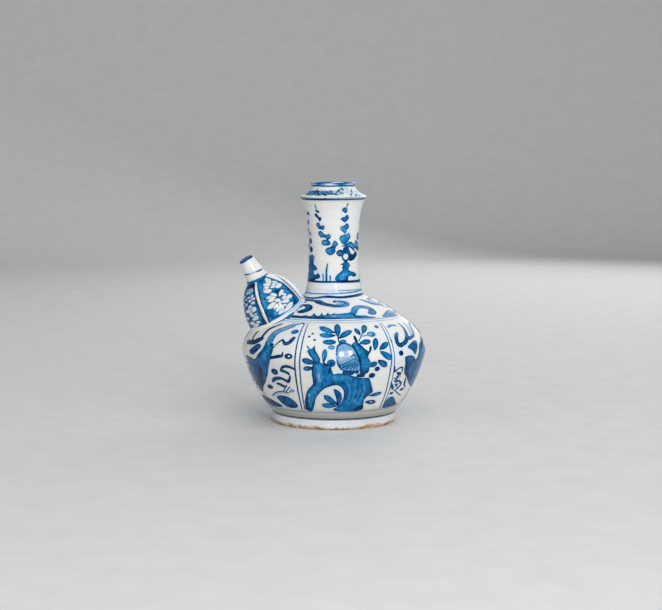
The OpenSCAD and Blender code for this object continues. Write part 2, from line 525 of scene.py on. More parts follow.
def flood_distance(spots: np.ndarray, path: np.ndarray) -> np.ndarray:
    """Distance from spots to an outline, below zero where a ray crosses it an odd number of times.

    Args:
        spots: places in millimetres.
        path: points of the closed outline.

    Returns:
        Distance of each spot, below zero inside the outline.
    """
    edge = stroke_distance(spots, path)
    start, end = path[:-1, :2], path[1:, :2]
    above = start[None, :, 1] > spots[:, None, 1]
    crosses = above != (end[None, :, 1] > spots[:, None, 1])
    run = end - start
    rise = np.where(np.abs(run[:, 1]) < TINY, TINY, run[:, 1])
    cross_x = start[:, 0] + (spots[:, None, 1] - start[:, 1]) * run[:, 0] / rise
    inside = (crosses & (spots[:, None, 0] < cross_x)).sum(axis=1) % 2 == 1
    return np.where(inside, -edge, edge)


def bare_layers(shape: tuple[int, ...]) -> dict[Ink, np.ndarray]:
    """Layers of a surface on which nothing is painted yet."""
    return {ink: np.full(shape, ink.bare) for ink in Ink}


def painted(
    paintings: Iterable[Painting], angles: np.ndarray, heights: np.ndarray, wall: Meridian
) -> dict[Ink, np.ndarray]:
    """Value of every layer at every vertex of a wall.

    Args:
        paintings: what is painted there.
        angles: angle of each vertex in degrees.
        heights: length of each vertex along the wall in millimetres.
        wall: meridian that gives the radius at a length.

    Returns:
        One array of values for each layer.
    """
    layers = bare_layers(angles.shape)
    for painting in paintings:
        painting.lay_on(layers, angles, heights, wall)
    return layers


class PanelArt:
    """The six panels of the body, in degrees from the front and millimetres up from the foot joint."""

    TURNS = (0.0, 120.0, 240.0)
    LEFT_TURNS = (0.0, 240.0)
    CLEAR_DEG = -49.5

    # Sprays of leaves above and beside the fruit, and three dots in the sky.
    LEAVES = (
        *leaves(
            MID, ((-11.2, 78.6), (-22.4, 84.8), 5.2, 0.04), ((-9.4, 74.4), (-9.6, 88), 5),
            ((-10.8, 76), (-21.4, 76.6), 4.6, 0.04), ((-8.6, 72.8), (0.2, 80.2), 5, 0.06),
            ((8.2, 77.2), (12.4, 85.8), 4.4), ((6, 75.8), (3.8, 82.4), 3.8),
            ((4.2, 68.6), (11.4, 70), 4.4), ((13.4, 62.2), (16.2, 71.8), 4.6),
            ((16.6, 62.6), (23.8, 67.4), 4.4), ((16.8, 61.4), (25, 55), 5), ((9.8, 60.2), (11.4, 66), 2)),
        *ovals(HALF, ((-6.2, 70.4), 2.1, 1.6), ((21.7, 83.6), 1.9, 1.6)),
        *leaves(DEEP, ((15, 54.6), (21.8, 49.6), 5), ((8.6, 50.8), (14.4, 52), 4.6)),
        *ovals(DARK, ((15.4, 47.6), 1.8, 2), ((12.4, 42.3), 2.2, 2.1)),
        oval(MID, (-15, 69.9), 4.2, 2.2),
        *ovals(PALE, ((-13.6, 65.5), 2.1, 1.7), ((14.2, 76.2), 3.2, 2.5)),
        stroke(HALF, 0.9, (-11.6, 78.8), (-9.6, 76.4), (-9.2, 72), (-8.4, 68.4)),
        stroke(MID, (0.6, 1.4, 0.6), (13.6, 73.8), (15.2, 75.4), (15.8, 77.6)),
        leaf(DARK, (2.9, 67.6), (1.5, 75.4), 2.3),
        *strokes(PALE, (0.8, (4, 70.4), (5.6, 73.4), (8.2, 78)), (0.8, (7.6, 74.6), (11.2, 75.6))),
        *ovals(LINE, ((-26.8, 77.4), 0.9, 0.9), ((-28.8, 74.4), 0.9, 0.9), ((-24.6, 71.6), 0.9, 0.9)),
    )

    # The pierced rock with its arch, shaded at its edges and brushed thin along its back.
    SWEPT = (
        ((-14, 38), (-7, 37.8), (-2.8, 31), (-3.4, 20)), ((-8, 40.8), (-1.4, 36), (0.2, 27), (-2, 15)),
        ((-1, 39.8), (3, 33.6), (3.4, 26), (0.6, 14)), ((5, 38.4), (6.8, 31), (6.4, 24), (4.6, 17)),
        ((-20.4, 34), (-19, 38), (-18, 42), (-17.6, 47)),
        ((-23.6, 37), (-23.8, 41), (-23.4, 45), (-22.6, 49)),
    )
    BRUSHED = (
        ((-7, 40), (-2.8, 36.4), (-1.2, 30), (-2.4, 19)), ((1, 38.6), (2.2, 33), (2, 26), (0, 17)),
        ((7, 38), (8.6, 32), (9, 26.6), (7.6, 20)), ((-22.4, 35), (-21.8, 39), (-21, 44), (-20.4, 49)),
    )
    ROCK = (
        fill(MID, (-24.6, 52.4), (-25.8, 46), (-25.6, 38), (-26.2, 34.6), (-29.4, 30.8), (-31.6, 26),
             (-33.2, 20), (-34.6, 13.4), (-34.6, 10.6), (-32.6, 9), (-30, 9), (-28.3, 11.6), (-26.6, 17),
             (-24.6, 23.4), (-21.8, 27.8), (-19, 31.2), (-15.6, 33.4), (-12, 34.8), (-9.6, 34.8),
             (-7.2, 32.8), (-5.5, 29.4), (-5.3, 24), (-6, 20.6), (-8.6, 15.4), (-12.6, 11.6), (-9, 9.4),
             (2.6, 9.2), (9, 9.6), (11.3, 11.4), (10.7, 15.4), (10.1, 19.6), (11, 22), (13.8, 25.6),
             (15.3, 28), (13.8, 32.6), (12.4, 36.6), (11, 39.8), (9.4, 40.6), (4, 40.8), (0, 42.6),
             (-5, 44.2), (-9.4, 45), (-12.4, 44.4), (-13.4, 47.4), (-14.2, 51.4), (-17.2, 52),
             (-20.6, 54)),
        stroke(DEEP, (1.6, 3.4, 3.6), (-31.2, 24), (-32.2, 18.6), (-32.6, 13)),
        # A pale dab on the leg: a painted glint.
        oval(PALE, (-29.8, 25.4), 0.9, 1.6),
        *(stroke(DEEP, (0.5, 1, 0.9, 0.5), *points) for points in SWEPT),
        *(stroke(HALF, (0.4, 0.9, 0.8, 0.4), *points) for points in BRUSHED),
        *strokes(
            SHADE, (2.2, (-25.2, 50), (-25.2, 42), (-25.2, 36), (-29, 30), (-32.4, 20), (-34, 11)),
            (1.8, (-28.4, 13), (-25, 21), (-21, 27.6), (-17, 32.6), (-12, 36), (-7, 35.6), (-4.2, 31),
            (-3.8, 22)), (1.8, (9.6, 24), (12.4, 26.6)), (1.8, (9.6, 39), (11.6, 34), (13.6, 29))),
        *strokes(
            GLOW, (3.6, (-22, 50), (-21, 44), (-20.4, 39)), (2.6, (-12, 41.4), (-7, 41), (-2, 40)),
            (2, (-28.2, 31), (-27.4, 27.6)), (1.4, (-30, 26), (-31, 17)), (2.4, (3, 20), (5, 17.4))),
        *strokes(
            LINE, ((0.6, 2, 1.8, 0.6), (-15, 50.8), (-14.6, 48), (-15.2, 45.6), (-13.4, 44.4)),
            ((0.5, 1.2, 0.5), (-17.4, 41), (-17.6, 37.6), (-16.8, 35))),
        fill(LINE, (3.4, 10.2), (7, 9.7), (10.7, 11), (10.4, 15), (7.4, 15), (4.8, 12.6)),
        fill(LINE, (-34, 13), (-34.2, 10.4), (-32.4, 9.4), (-30.2, 9.6), (-29, 11.8), (-31.4, 13.2)),
    )

    # The tuft of leaves on top of the rock and the sprigs below and beside it.
    PLANTS = (
        *leaves(
            MID, ((-23.4, 53), (-31, 55.4), 4.6), ((-24.6, 49.4), (-30.6, 48.2), 3.8),
            ((13, 24), (22.6, 25.9), 3.6)),
        fill(MID, (-20.2, 55.4), (-21.6, 59.6), (-23.4, 63), (-23.7, 65.6), (-24.3, 66.4), (-25.6, 64.4),
             (-27, 63.8), (-28.4, 62.6), (-27.4, 60), (-25.6, 57.4), (-24.4, 55), (-22, 53)),
        leaf(HALF, (-18.2, 53.8), (-17.4, 63.8), 4),
        oval(MID, (-13.7, 53.4), 2.6, 3),
        oval(DEEP, (-13.6, 52.8), 1.3, 1.4),
        stroke(DARK, (0.9, 1.3, 1.1), (-18.6, 57), (-18, 53.6), (-16, 51.6)),
        stroke(DEEP, (1.4, 4.2, 4.4, 0.8), (-9.4, 15.6), (-8.4, 22), (-9.6, 27.4), (-12, 31.2)),
        *leaves(MID, ((-9.8, 17), (-18.4, 25.2), 5, 0.04), ((-10, 15.2), (-20.6, 15.8), 5)),
        leaf(DEEP, (11, 18.4), (20, 17.2), 4.3),
        *strokes(GLOW, (1.4, (-25.6, 61.6), (-24, 58.8)), (1, (-23, 60.4), (-22.2, 58.2))),
        *strokes(
            LINE, ((0.7, 1.1, 0.6), (-29, 66.6), (-28.2, 65.2), (-27, 63.6)),
            (0.7, (-27, 62.2), (-24.8, 58.6), (-22.8, 55)),
            (0.7, (-24.8, 63.4), (-23.2, 59.8), (-21.4, 56.4)), (0.7, (-25, 53.6), (-29, 54.8)),
            ((0.5, 1.1, 0.5), (-17.8, 55), (-17.6, 58), (-17.4, 61))),
        oval(LINE, (-9.4, 17), 1.3, 1.7),
        oval(SPARE, (16.6, 17.9), 1.1, 0.6),
    )

    # The cleft fruit: a pale front half with fanned lines and a deep blue back half.
    FAN = (
        ((1.2, 58), (-3, 54.4), (-8.4, 51.8)), ((1.4, 57.4), (-2.2, 53), (-6.8, 49.8)),
        ((1.7, 57), (-1, 52.4), (-4.6, 48.4)), ((2, 56.6), (0, 52), (-2.4, 47.6)),
        ((2.3, 56.2), (1.1, 51.6), (-0.2, 47.4)), ((2.7, 55.8), (2.2, 51.6), (1.8, 47.4)),
    )
    HATCH = (
        ((4.4, 54.6), (7, 52.8)), ((4.7, 52), (7.2, 50.2)), ((4.7, 49.6), (7, 47.8)),
        ((3.2, 58.4), (5.8, 60.6)), ((4, 56.6), (7.2, 57)), ((1.8, 62.4), (4, 64.4)),
    )
    FRUIT = (
        fill(PALE, (-8.4, 68.2), (-10, 66.4), (-10.7, 62), (-10.5, 57), (-9.9, 53), (-8.6, 50),
             (-6.4, 47.4), (-2, 46.2), (3.8, 47), (3.9, 52), (3.2, 55.6), (1.9, 60.4), (0.2, 64.6),
             (-2.4, 67.8), (-5.8, 69)),
        fill(MID, (-0.8, 67.4), (0.6, 69.4), (2, 69.9), (3.4, 69), (5.4, 66.4), (7.4, 63.6), (9.9, 61.2),
             (9.2, 59), (8.9, 57), (9.8, 55.2), (10.4, 52.6), (10, 48.6), (9.8, 45.4), (8, 44.2),
             (4.4, 44.4), (4.3, 48), (4.1, 52), (3.4, 55.6), (2.1, 60.4), (0.5, 64.6)),
        *strokes(
            HALF, ((1.6, 2.8, 2.4, 1.2), (1, 68), (1.9, 66), (2.6, 63.6), (3.4, 60.4)),
            (0.9, (5, 53.4), (8.6, 52.8)), (0.9, (5.2, 50.8), (8.4, 50.2))),
        oval(MID, (1.9, 66.3), 0.5, 0.8),
        stroke(MID, 0.8, (-10.6, 60), (-10.1, 66.2), (-8.2, 68.3), (-5.4, 68.9), (-2.4, 67.8),
               (-0.4, 65.6)),
        fill(DEEP, (-6.8, 45), (-6, 47), (-1, 47), (3, 46.6), (3, 44.6), (-1.4, 43.6), (-5, 43.6)),
        # These glow strokes lighten the pale half where the lamps' glints fall: painted highlight.
        *strokes(
            GLOW, (3.4, (-7.6, 60.4), (-5, 60.4), (-2.4, 62)),
            (1.4, (-8.6, 56.4), (-6, 57.4), (-3, 58.4))),
        *strokes(
            SHADE, ((3, 4, 5, 4), (-6, 50.6), (-3.6, 51), (-0.6, 51.6), (1.6, 52)),
            (2, (3.4, 68), (6.4, 63.4), (8.2, 60)), (3, (4.8, 46), (9, 46))),
        *(stroke(LINE, 0.7, *points) for points in HATCH),
        *strokes(
            LINE, ((0.4, 1, 1.2, 0.4), (-2.2, 58.4), (-0.8, 59.4), (0.4, 59.4), (1.6, 58)),
            ((0.6, 1, 1.3, 1.4, 1.3, 0.9), (-0.6, 67.4), (0.4, 64.6), (2, 60.4), (3.3, 55.6), (4, 51.6),
            (4.2, 46.8)),
            ((0.4, 1.1, 1.4, 1, 0.6), (-10.5, 57.4), (-9.9, 54), (-8.6, 50.2), (-6.6, 47.6), (-3, 46))),
        *(stroke(LINE, (0.4, 0.8, 1), *points) for points in FAN),
        fill(LINE, (2.2, 41.4), (7.2, 41.4), (8, 43.6), (5, 44.6), (2.6, 43.8)),
        *ovals(SPARE, ((1, 44.1), 0.9, 0.7), ((8.3, 42.3), 1.1, 0.8)),
    )

    # The dark rock of a side panel with its bent trunk, its leaf and the stone at its foot.
    LEFT_ROCK = (
        fill(DEEP, (-52.6, 62), (-53, 58), (-54.6, 52.4), (-57, 47), (-59, 42), (-62, 37), (-65, 33),
             (-69, 29.4), (-72.5, 25.6), (-76, 22.6), (-80, 26), (-83, 36), (-83.5, 46), (-83.5, 53),
             (-76, 52.6), (-69.5, 52), (-66, 56), (-62.4, 60), (-60.8, 64), (-60, 67), (-57, 66.6),
             (-53.6, 65)),
        fill(DEEP, (-77, 57), (-74.5, 59.8), (-71, 62.6), (-68, 64.2), (-65.4, 64.2), (-63.8, 62.6),
             (-65.6, 60), (-68.4, 57.4), (-71, 55.4), (-74.4, 55.4)),
        *strokes(
            DARK,
            ((1.4, 1.8, 2.6, 2.8, 2.4), (-57, 85.6), (-61, 82), (-65, 78.6), (-66.2, 73.4), (-67, 69.6)),
            ((3, 5, 4, 3.4), (-65.5, 69), (-69.5, 67), (-74, 64.8), (-84, 63.4)),
            (2.4, (-76.6, 66), (-77.6, 70), (-76, 75))),
        stroke(PALE, (2, 3, 3.6, 4, 4.4, 4.6), (-42, 87), (-46, 84), (-50, 80.5), (-54, 77.5),
               (-56.5, 74), (-57.4, 67)),
        stroke(GLOW, 4, (-56.4, 62), (-58, 58), (-60, 54)),
        *strokes(
            SHADE, ((4, 8, 7), (-66, 44), (-71, 35), (-75, 26)), (2.6, (-56.8, 73), (-57.6, 67)),
            (2, (-75, 57), (-68, 59))),
        *strokes(
            LINE, (0.9, (-45.4, 87), (-51.4, 82.6), (-56.4, 78.8), (-59.4, 74), (-60.4, 66)),
            (0.8, (-43, 84.4), (-49, 79.6), (-53, 76), (-54.4, 72), (-54.8, 66))),
        fill(LINE, (-90, 12), (-86, 17), (-78, 19), (-70, 17), (-62, 14.6), (-57.6, 12), (-60, 10),
             (-75, 9)),
    )

    # Cloud, curled grasses, dashes and the round stone on the right of a side panel.
    CURLS = (
        *strokes(
            DARK,
            ((2.4, 2.4, 2.4, 2, 1.2), (-53.3, 55.2), (-50, 56.2), (-47, 57), (-45, 57.6), (-44.7, 60)),
            ((1.6, 2.2, 2.4, 2.2, 1.4), (-46.8, 46.6), (-45, 48.6), (-42, 49.4), (-39, 48.6),
            (-37, 47.2)),
            ((1.6, 2.6, 2.2, 1.2), (-47.4, 45.3), (-44.5, 44.9), (-42, 43.6), (-41.4, 42.4)),
            ((2, 3.2, 3, 2.4, 2.4, 2.8, 2.4, 1.4), (-56.6, 34.8), (-55, 36.6), (-52, 38.2), (-48, 38.6),
            (-45, 37.2), (-43.4, 36.4), (-42, 38), (-41, 41)),
            ((1.6, 2.6, 2.6, 1.6), (-53, 33.4), (-50.6, 33.2), (-48.4, 32), (-46.4, 31.6))),
        *ovals(DARK, ((-40.5, 57.5), 2.8, 2.2), ((-52.5, 43.8), 2.8, 2.6)),
        oval(MID, (-40.4, 78.4), 2.8, 2.1, 0.2),
        stroke(DEEP, (2.8, 3.4, 3.2, 2.8, 2, 1.6, 1.4, 1.1, 0.9), (-39.3, 72.3), (-40.4, 70.3), (-42, 68),
               (-44.5, 67.1), (-46, 68.8), (-47.2, 70), (-48.5, 69), (-50.5, 66.5), (-52.5, 63.4)),
        oval(DARK, (-54.5, 65.5), 1.8, 0.9),
        stroke(MIST, 2, (-60, 22), (-54, 25), (-46, 25.2)),
        fill(DEEP, (-58.8, 19.8), (-55.8, 22), (-51.4, 22.8), (-46.6, 21.8), (-43, 18.8), (-41, 14.8),
             (-42.2, 12), (-46.2, 10.9), (-51.2, 11.3), (-55.8, 14.2)),
        *strokes(
            GLOW, (0.6, (-41.4, 78.2), (-39.6, 78.8)), (0.8, (-54.6, 36), (-51, 37.4)),
            (0.8, (-44, 37), (-42.6, 38))),
        stroke(SHADE, 2, (-43, 16.8), (-42.6, 13.2), (-47, 11.8)),
        *strokes(
            LINE, (1, (-45, 33), (-49, 27.4)), (1, (-43, 31.6), (-47, 27)),
            (0.9, (-41.6, 29.6), (-44.6, 26.4)), (0.9, (-40, 29), (-42, 27)),
            (1, (-63, 21), (-58, 24.4), (-52, 26.4), (-46, 26.2))),
        oval(LINE, (-61.4, 29.5), 3.3, 2, 0.2),
        *ovals(SPARE, ((-47.7, 67.6), 0.9, 1), ((-40.1, 57.6), 0.9, 0.7)),
    )

    # The rock of the next side panel, with the hooked branches over it and its dark stone.
    FOLDS = (
        ((61, 62.6), (58.8, 56), (60.6, 49), (58.4, 42)), ((65, 46.6), (62.8, 40), (63, 35), (64.4, 30)),
        ((53.4, 48), (50.6, 42), (51, 38), (53, 33)), ((67, 58), (65, 55), (65.4, 52), (67, 50)),
    )
    SWEEPS = (
        ((63.6, 62), (61.6, 56), (63.2, 49), (61, 43)), ((56, 57), (55, 50), (56.6, 43), (55.4, 35)),
        ((47, 48), (45, 44.6), (45.6, 41), (48.6, 37)),
    )
    RIGHT_ROCK = (
        fill(DEEP, (40.4, 62), (44, 64.2), (51, 66.2), (53.6, 65), (53, 62), (50, 57.6), (47.4, 55.4),
             (44.6, 59)),
        fill(DEEP, (36.6, 54.6), (38, 49), (38.6, 43), (40.4, 40), (44, 37), (47, 33.6), (51, 30.6),
             (55, 28), (60, 25.8), (65, 25), (67.6, 28.6), (66.4, 33.6), (69, 38), (70.4, 43.6),
             (68, 48.4), (70, 53), (69.6, 58.6), (66.4, 61), (67.4, 65), (64, 67.4), (60.6, 64.4),
             (57, 62.6), (54.6, 60), (52, 55), (49.6, 51), (46, 54), (42, 55.4)),
        fill(DEEP, (59.6, 10), (60.4, 14), (63.4, 18.4), (67, 19), (71, 16.4), (75.6, 11.6), (68, 9.6)),
        fill(DEEP, (30.6, 12), (30.8, 18), (33, 20.6), (37, 20), (41, 17), (46, 13), (50, 10.6),
             (40, 9.6), (32, 9.6)),
        *strokes(
            DEEP,
            ((2, 3.4, 3.8, 3.8, 3.6, 3.2, 3.4, 3.8, 3.4, 2.6, 1.6), (36.6, 75), (33.8, 72.5), (32.2, 69),
            (32.2, 66), (34, 64.5), (37, 65.3), (40.5, 66.8), (44, 70.5), (46.6, 75), (48, 79.6),
            (47.4, 84)), ((1, 2.2, 1.4), (60.5, 27.4), (61, 23), (62, 18.6))),
        *leaves(MID, ((69.6, 74), (75, 78.4), 3.6), ((69.4, 71.6), (76, 71.4), 3.4)),
        stroke(TINT, (2, 4, 4, 2), (51, 71.6), (53.6, 75), (55.6, 79), (56, 83)),
        stroke(DEEP, (3.2, 3, 2.2, 2, 2, 2.2, 2.2, 1.6), (43.5, 69.2), (47, 69), (50.4, 69.4), (54, 70.4),
               (57, 73.2), (60, 77), (64, 80), (72, 82)),
        oval(DARK, (33.2, 58.3), 2, 2),
        stroke(PALE, 1.8, (32.4, 82), (36, 83.4), (41, 82.6)),
        *(stroke(MID, (0.8, 1.8, 1.6, 0.8), *points) for points in SWEEPS),
        *strokes(GLOW, (1.4, (35.6, 74.4), (33, 71)), (4, (58, 58), (66, 56))),
        *strokes(SHADE, ((2, 3, 3), (39, 52), (41, 44), (46, 37)), (3, (42, 13), (48, 11))),
        *(stroke(LINE, (0.4, 1, 1, 0.4), *points) for points in FOLDS),
        *strokes(
            LINE, ((0.6, 1.4, 0.6), (68.6, 69), (69.6, 74), (68, 79)),
            ((1.4, 2.6, 2.2, 1), (43, 36.6), (43.8, 33), (45, 30), (47.4, 27.6)),
            ((0.4, 1, 0.8), (55, 21), (57.4, 16), (58.2, 11.4))),
        oval(LINE, (43.8, 26.2), 2.8, 1.3),
    )

    # Broken waves and grasses on the left of a side panel.
    WAVE = ((28.6, 47.8), (29.4, 44), (31.6, 45.2), (34, 46.6), (36.4, 45.8), (36.4, 43.4))
    CURL = ((34, 35.4), (37, 34.4), (39.6, 32), (39.4, 30), (37, 28), (35.4, 26.4))
    SCRIBBLES = (
        oval(DARK, (33, 24.2), 1.9, 1.2),
        *strokes(
            LINE, ((1.6, 2, 1.4, 1.4, 1.6, 1.6), *WAVE), (1.8, (32.6, 42.4), (35.6, 41.4)),
            (1.3, (29, 34), (32, 30.4)), (1.3, (30, 31), (33.4, 27.6)), (1.1, (33, 32.6), (36, 30.4)),
            ((1.2, 1.4, 2, 1.8, 1.4, 1.6), *CURL), (0.9, (35.6, 26.4), (40, 23.4), (47, 19.8)),
            (0.9, (31.4, 42.6), (33.4, 40.6), (36, 40)), (0.9, (30.4, 38), (33, 37.4), (36.4, 38.6)),
            (0.8, (31, 35.6), (34, 34), (36.4, 36)), (0.8, (30.6, 28.4), (34, 30.4), (37.4, 32.4)),
            (0.8, (38.6, 27.4), (36.4, 29.4), (35, 33))),
        *ovals(LINE, ((33.4, 39), 1.2, 1.1), ((33, 36), 1.1, 1.2)),
    )

    # Paired lines that part the panels.
    FIRM = (1, 1.1, 1.3, 1.3, 1.2)
    THIN = (0.8, 1, 1, 1.1, 1.1)
    BORDERS = strokes(
        LINE, (THIN, (-33.2, 88.4), (-32.4, 68), (-33.2, 50), (-34.6, 24), (-35.6, 10)),
        (FIRM, (-36.2, 87.4), (-35.8, 62), (-36.6, 46), (-37.4, 24), (-38.2, 10)),
        ((0.8, 1.2, 1), (-41, 87), (-38.2, 88.4), (-36.2, 87.2)),
        (THIN, (26.8, 87.4), (25, 68), (25.2, 54), (26.2, 34), (27.8, 9.8)),
        ((0.6, 0.8, 0.8, 0.9, 1), (29.2, 87.4), (27.4, 68), (27.5, 54), (28.9, 40), (30.2, 9.8)),
        (1.1, (27.4, 70), (27.6, 67.4)),
    )

    @staticmethod
    def rings(break_s: float) -> tuple[Mark, ...]:
        """Rings at the foot and under the break of the shoulder, at its length along the wall."""
        return (
            band(LINE, 0.9, 0.5, 0.1),
            band(MIST, 1.0, break_s - 1.0, 0.25),
            band(TINT, 0.8, break_s + 1.5, 0.25),
            band(TINT, 0.8, 8.2, 0.3),
        )

    @classmethod
    def paintings(cls, break_s: float) -> tuple[Painting, ...]:
        """All that is painted on the panels.

        Args:
            break_s: length along the wall at the break.

        Returns:
            The paintings.
        """
        fruit_panel = cls.ROCK + cls.PLANTS + cls.LEAVES + cls.FRUIT + cls.BORDERS
        beside = tuple(mark for mark in cls.CURLS if min(mark.points)[0] > cls.CLEAR_DEG)
        return (
            Painting(cls.LEFT_ROCK, cls.LEFT_TURNS),
            Painting(cls.RIGHT_ROCK),
            Painting(cls.CURLS, cls.LEFT_TURNS),
            Painting(cls.SCRIBBLES, cls.TURNS),
            Painting(beside, cls.TURNS[1:2]),
            Painting(fruit_panel, cls.TURNS),
            Painting(cls.rings(break_s)),
        )


class ShoulderArt:
    """Scrolling cloud band on the shoulder, in degrees and millimetres from the foot joint."""

    TURNS = (0.0, 120.0, 240.0)

    # The low cloud bank with its dripping top, and the scroll that rises from its right end.
    BANK = (
        fill(MID, (-60, 95.6), (-58, 94.2), (-50, 93.8), (-40, 94), (-20, 94), (0, 94.4), (10, 94.2),
             (22, 93.8), (29, 94.4), (22, 96), (19, 97.4), (13, 97.6), (9.4, 98.2), (8, 101),
             (7.6, 103.6), (3, 101.4), (-3, 100.8), (-10, 100.2), (-11.6, 101.2), (-14, 99.8), (-17, 100),
             (-18.2, 101.6), (-20, 98.8), (-22.4, 98.6), (-24.4, 101.2), (-25.6, 98.2), (-28.6, 97.8),
             (-32, 100.6), (-33.8, 97.2), (-37.6, 97.2), (-39.6, 98), (-43, 96.8), (-50, 96.8),
             (-57, 96.6)),
        stroke(HALF, (4.4, 5, 4.8, 4.4, 4.2, 4.8, 6, 6, 4), (8.6, 101.6), (10.4, 104.6), (13.6, 107),
               (18, 108.4), (23, 108.2), (28.6, 106.8), (31.4, 103.6), (30.2, 100.6), (26.4, 99.6)),
        fill(HALF, (37, 94.6), (42, 96.4), (48, 98.4), (54, 99.6), (61, 100), (65, 99), (65, 92.2),
             (54, 92.2), (44, 92.8)),
        *strokes(
            SHADE, (3, (-56, 95.2), (-40, 95.4), (-20, 95.6)), (1.4, (7, 97.4), (7.2, 101.2)),
            (3, (31.6, 104), (30.4, 100.8), (26.6, 99.6)), (2.4, (50, 95), (62, 95))),
        stroke(GLOW, 2, (-14, 97.6), (-4, 97.6), (5, 97.4)),
    )

    # The long hook that curls under the neck, the comma at its left and the hook at its right.
    HOOKS = (
        *strokes(
            HALF, ((2, 2.6, 3), (-62, 108.8), (-56, 110), (-50, 110.4)),
            ((3, 3.4, 2.4), (-61, 106.4), (-57.4, 105), (-55.6, 102.6)),
            ((3, 4.2, 5, 4.8, 4.6, 4.4), (35.6, 119.2), (38.6, 116.6), (43, 113.4), (48, 110.8),
            (55, 109.2), (64, 108.2))),
        *strokes(
            DEEP,
            ((4, 5.4, 5.4, 5, 4.6, 4.4, 4.2, 3.8, 3.6), (-62, 120.2), (-46, 120), (-40, 118.6),
            (-35, 116.4), (-30, 114.8), (-24, 113), (-17, 111.8), (-9, 110.4), (-1, 110.8)),
            ((2.4, 3.4, 3, 1.4), (-66, 118), (-50, 118.4), (-40, 118.2), (-30, 117.2))),
        fill(TINT, (-9.6, 112.6), (-7, 115.6), (-3, 115.8), (0, 114.4), (-3, 112.4)),
        fill(TINT, (46, 114), (51, 116), (58, 115.4), (61, 112.4), (53, 111.4)),
        *strokes(
            HALF,
            ((3.8, 4.2, 4, 3.4, 3, 2.6), (-1, 110.8), (4.6, 112.6), (4.4, 115.6), (-1, 117.4), (-8, 118),
            (-11.6, 117.4)), (1.6, (51, 117), (57, 117.2), (64, 116.6)), (1.4, (56, 114.6), (64, 114.2))),
        oval(DARK, (-11.4, 117.4), 2.2, 1.9),
        fill(DARK, (-46, 112), (-40.6, 110.6), (-37.2, 107.4), (-37.6, 104.2), (-40.6, 101.8), (-45, 100),
             (-49.4, 99.8), (-52.4, 101.2), (-50, 103.4), (-46.6, 105.4), (-47, 107.6), (-50, 108.6),
             (-53, 109.6), (-51, 111.2)),
        oval(GLOW, (-44, 108.4), 3, 1.2),
        stroke(SHADE, 3, (44, 112), (54, 109), (64, 107.6)),
    )

    @classmethod
    def paintings(cls) -> tuple[Painting, ...]:
        """All that is painted on the shoulder."""
        return (Painting(cls.BANK + cls.HOOKS, cls.TURNS),)


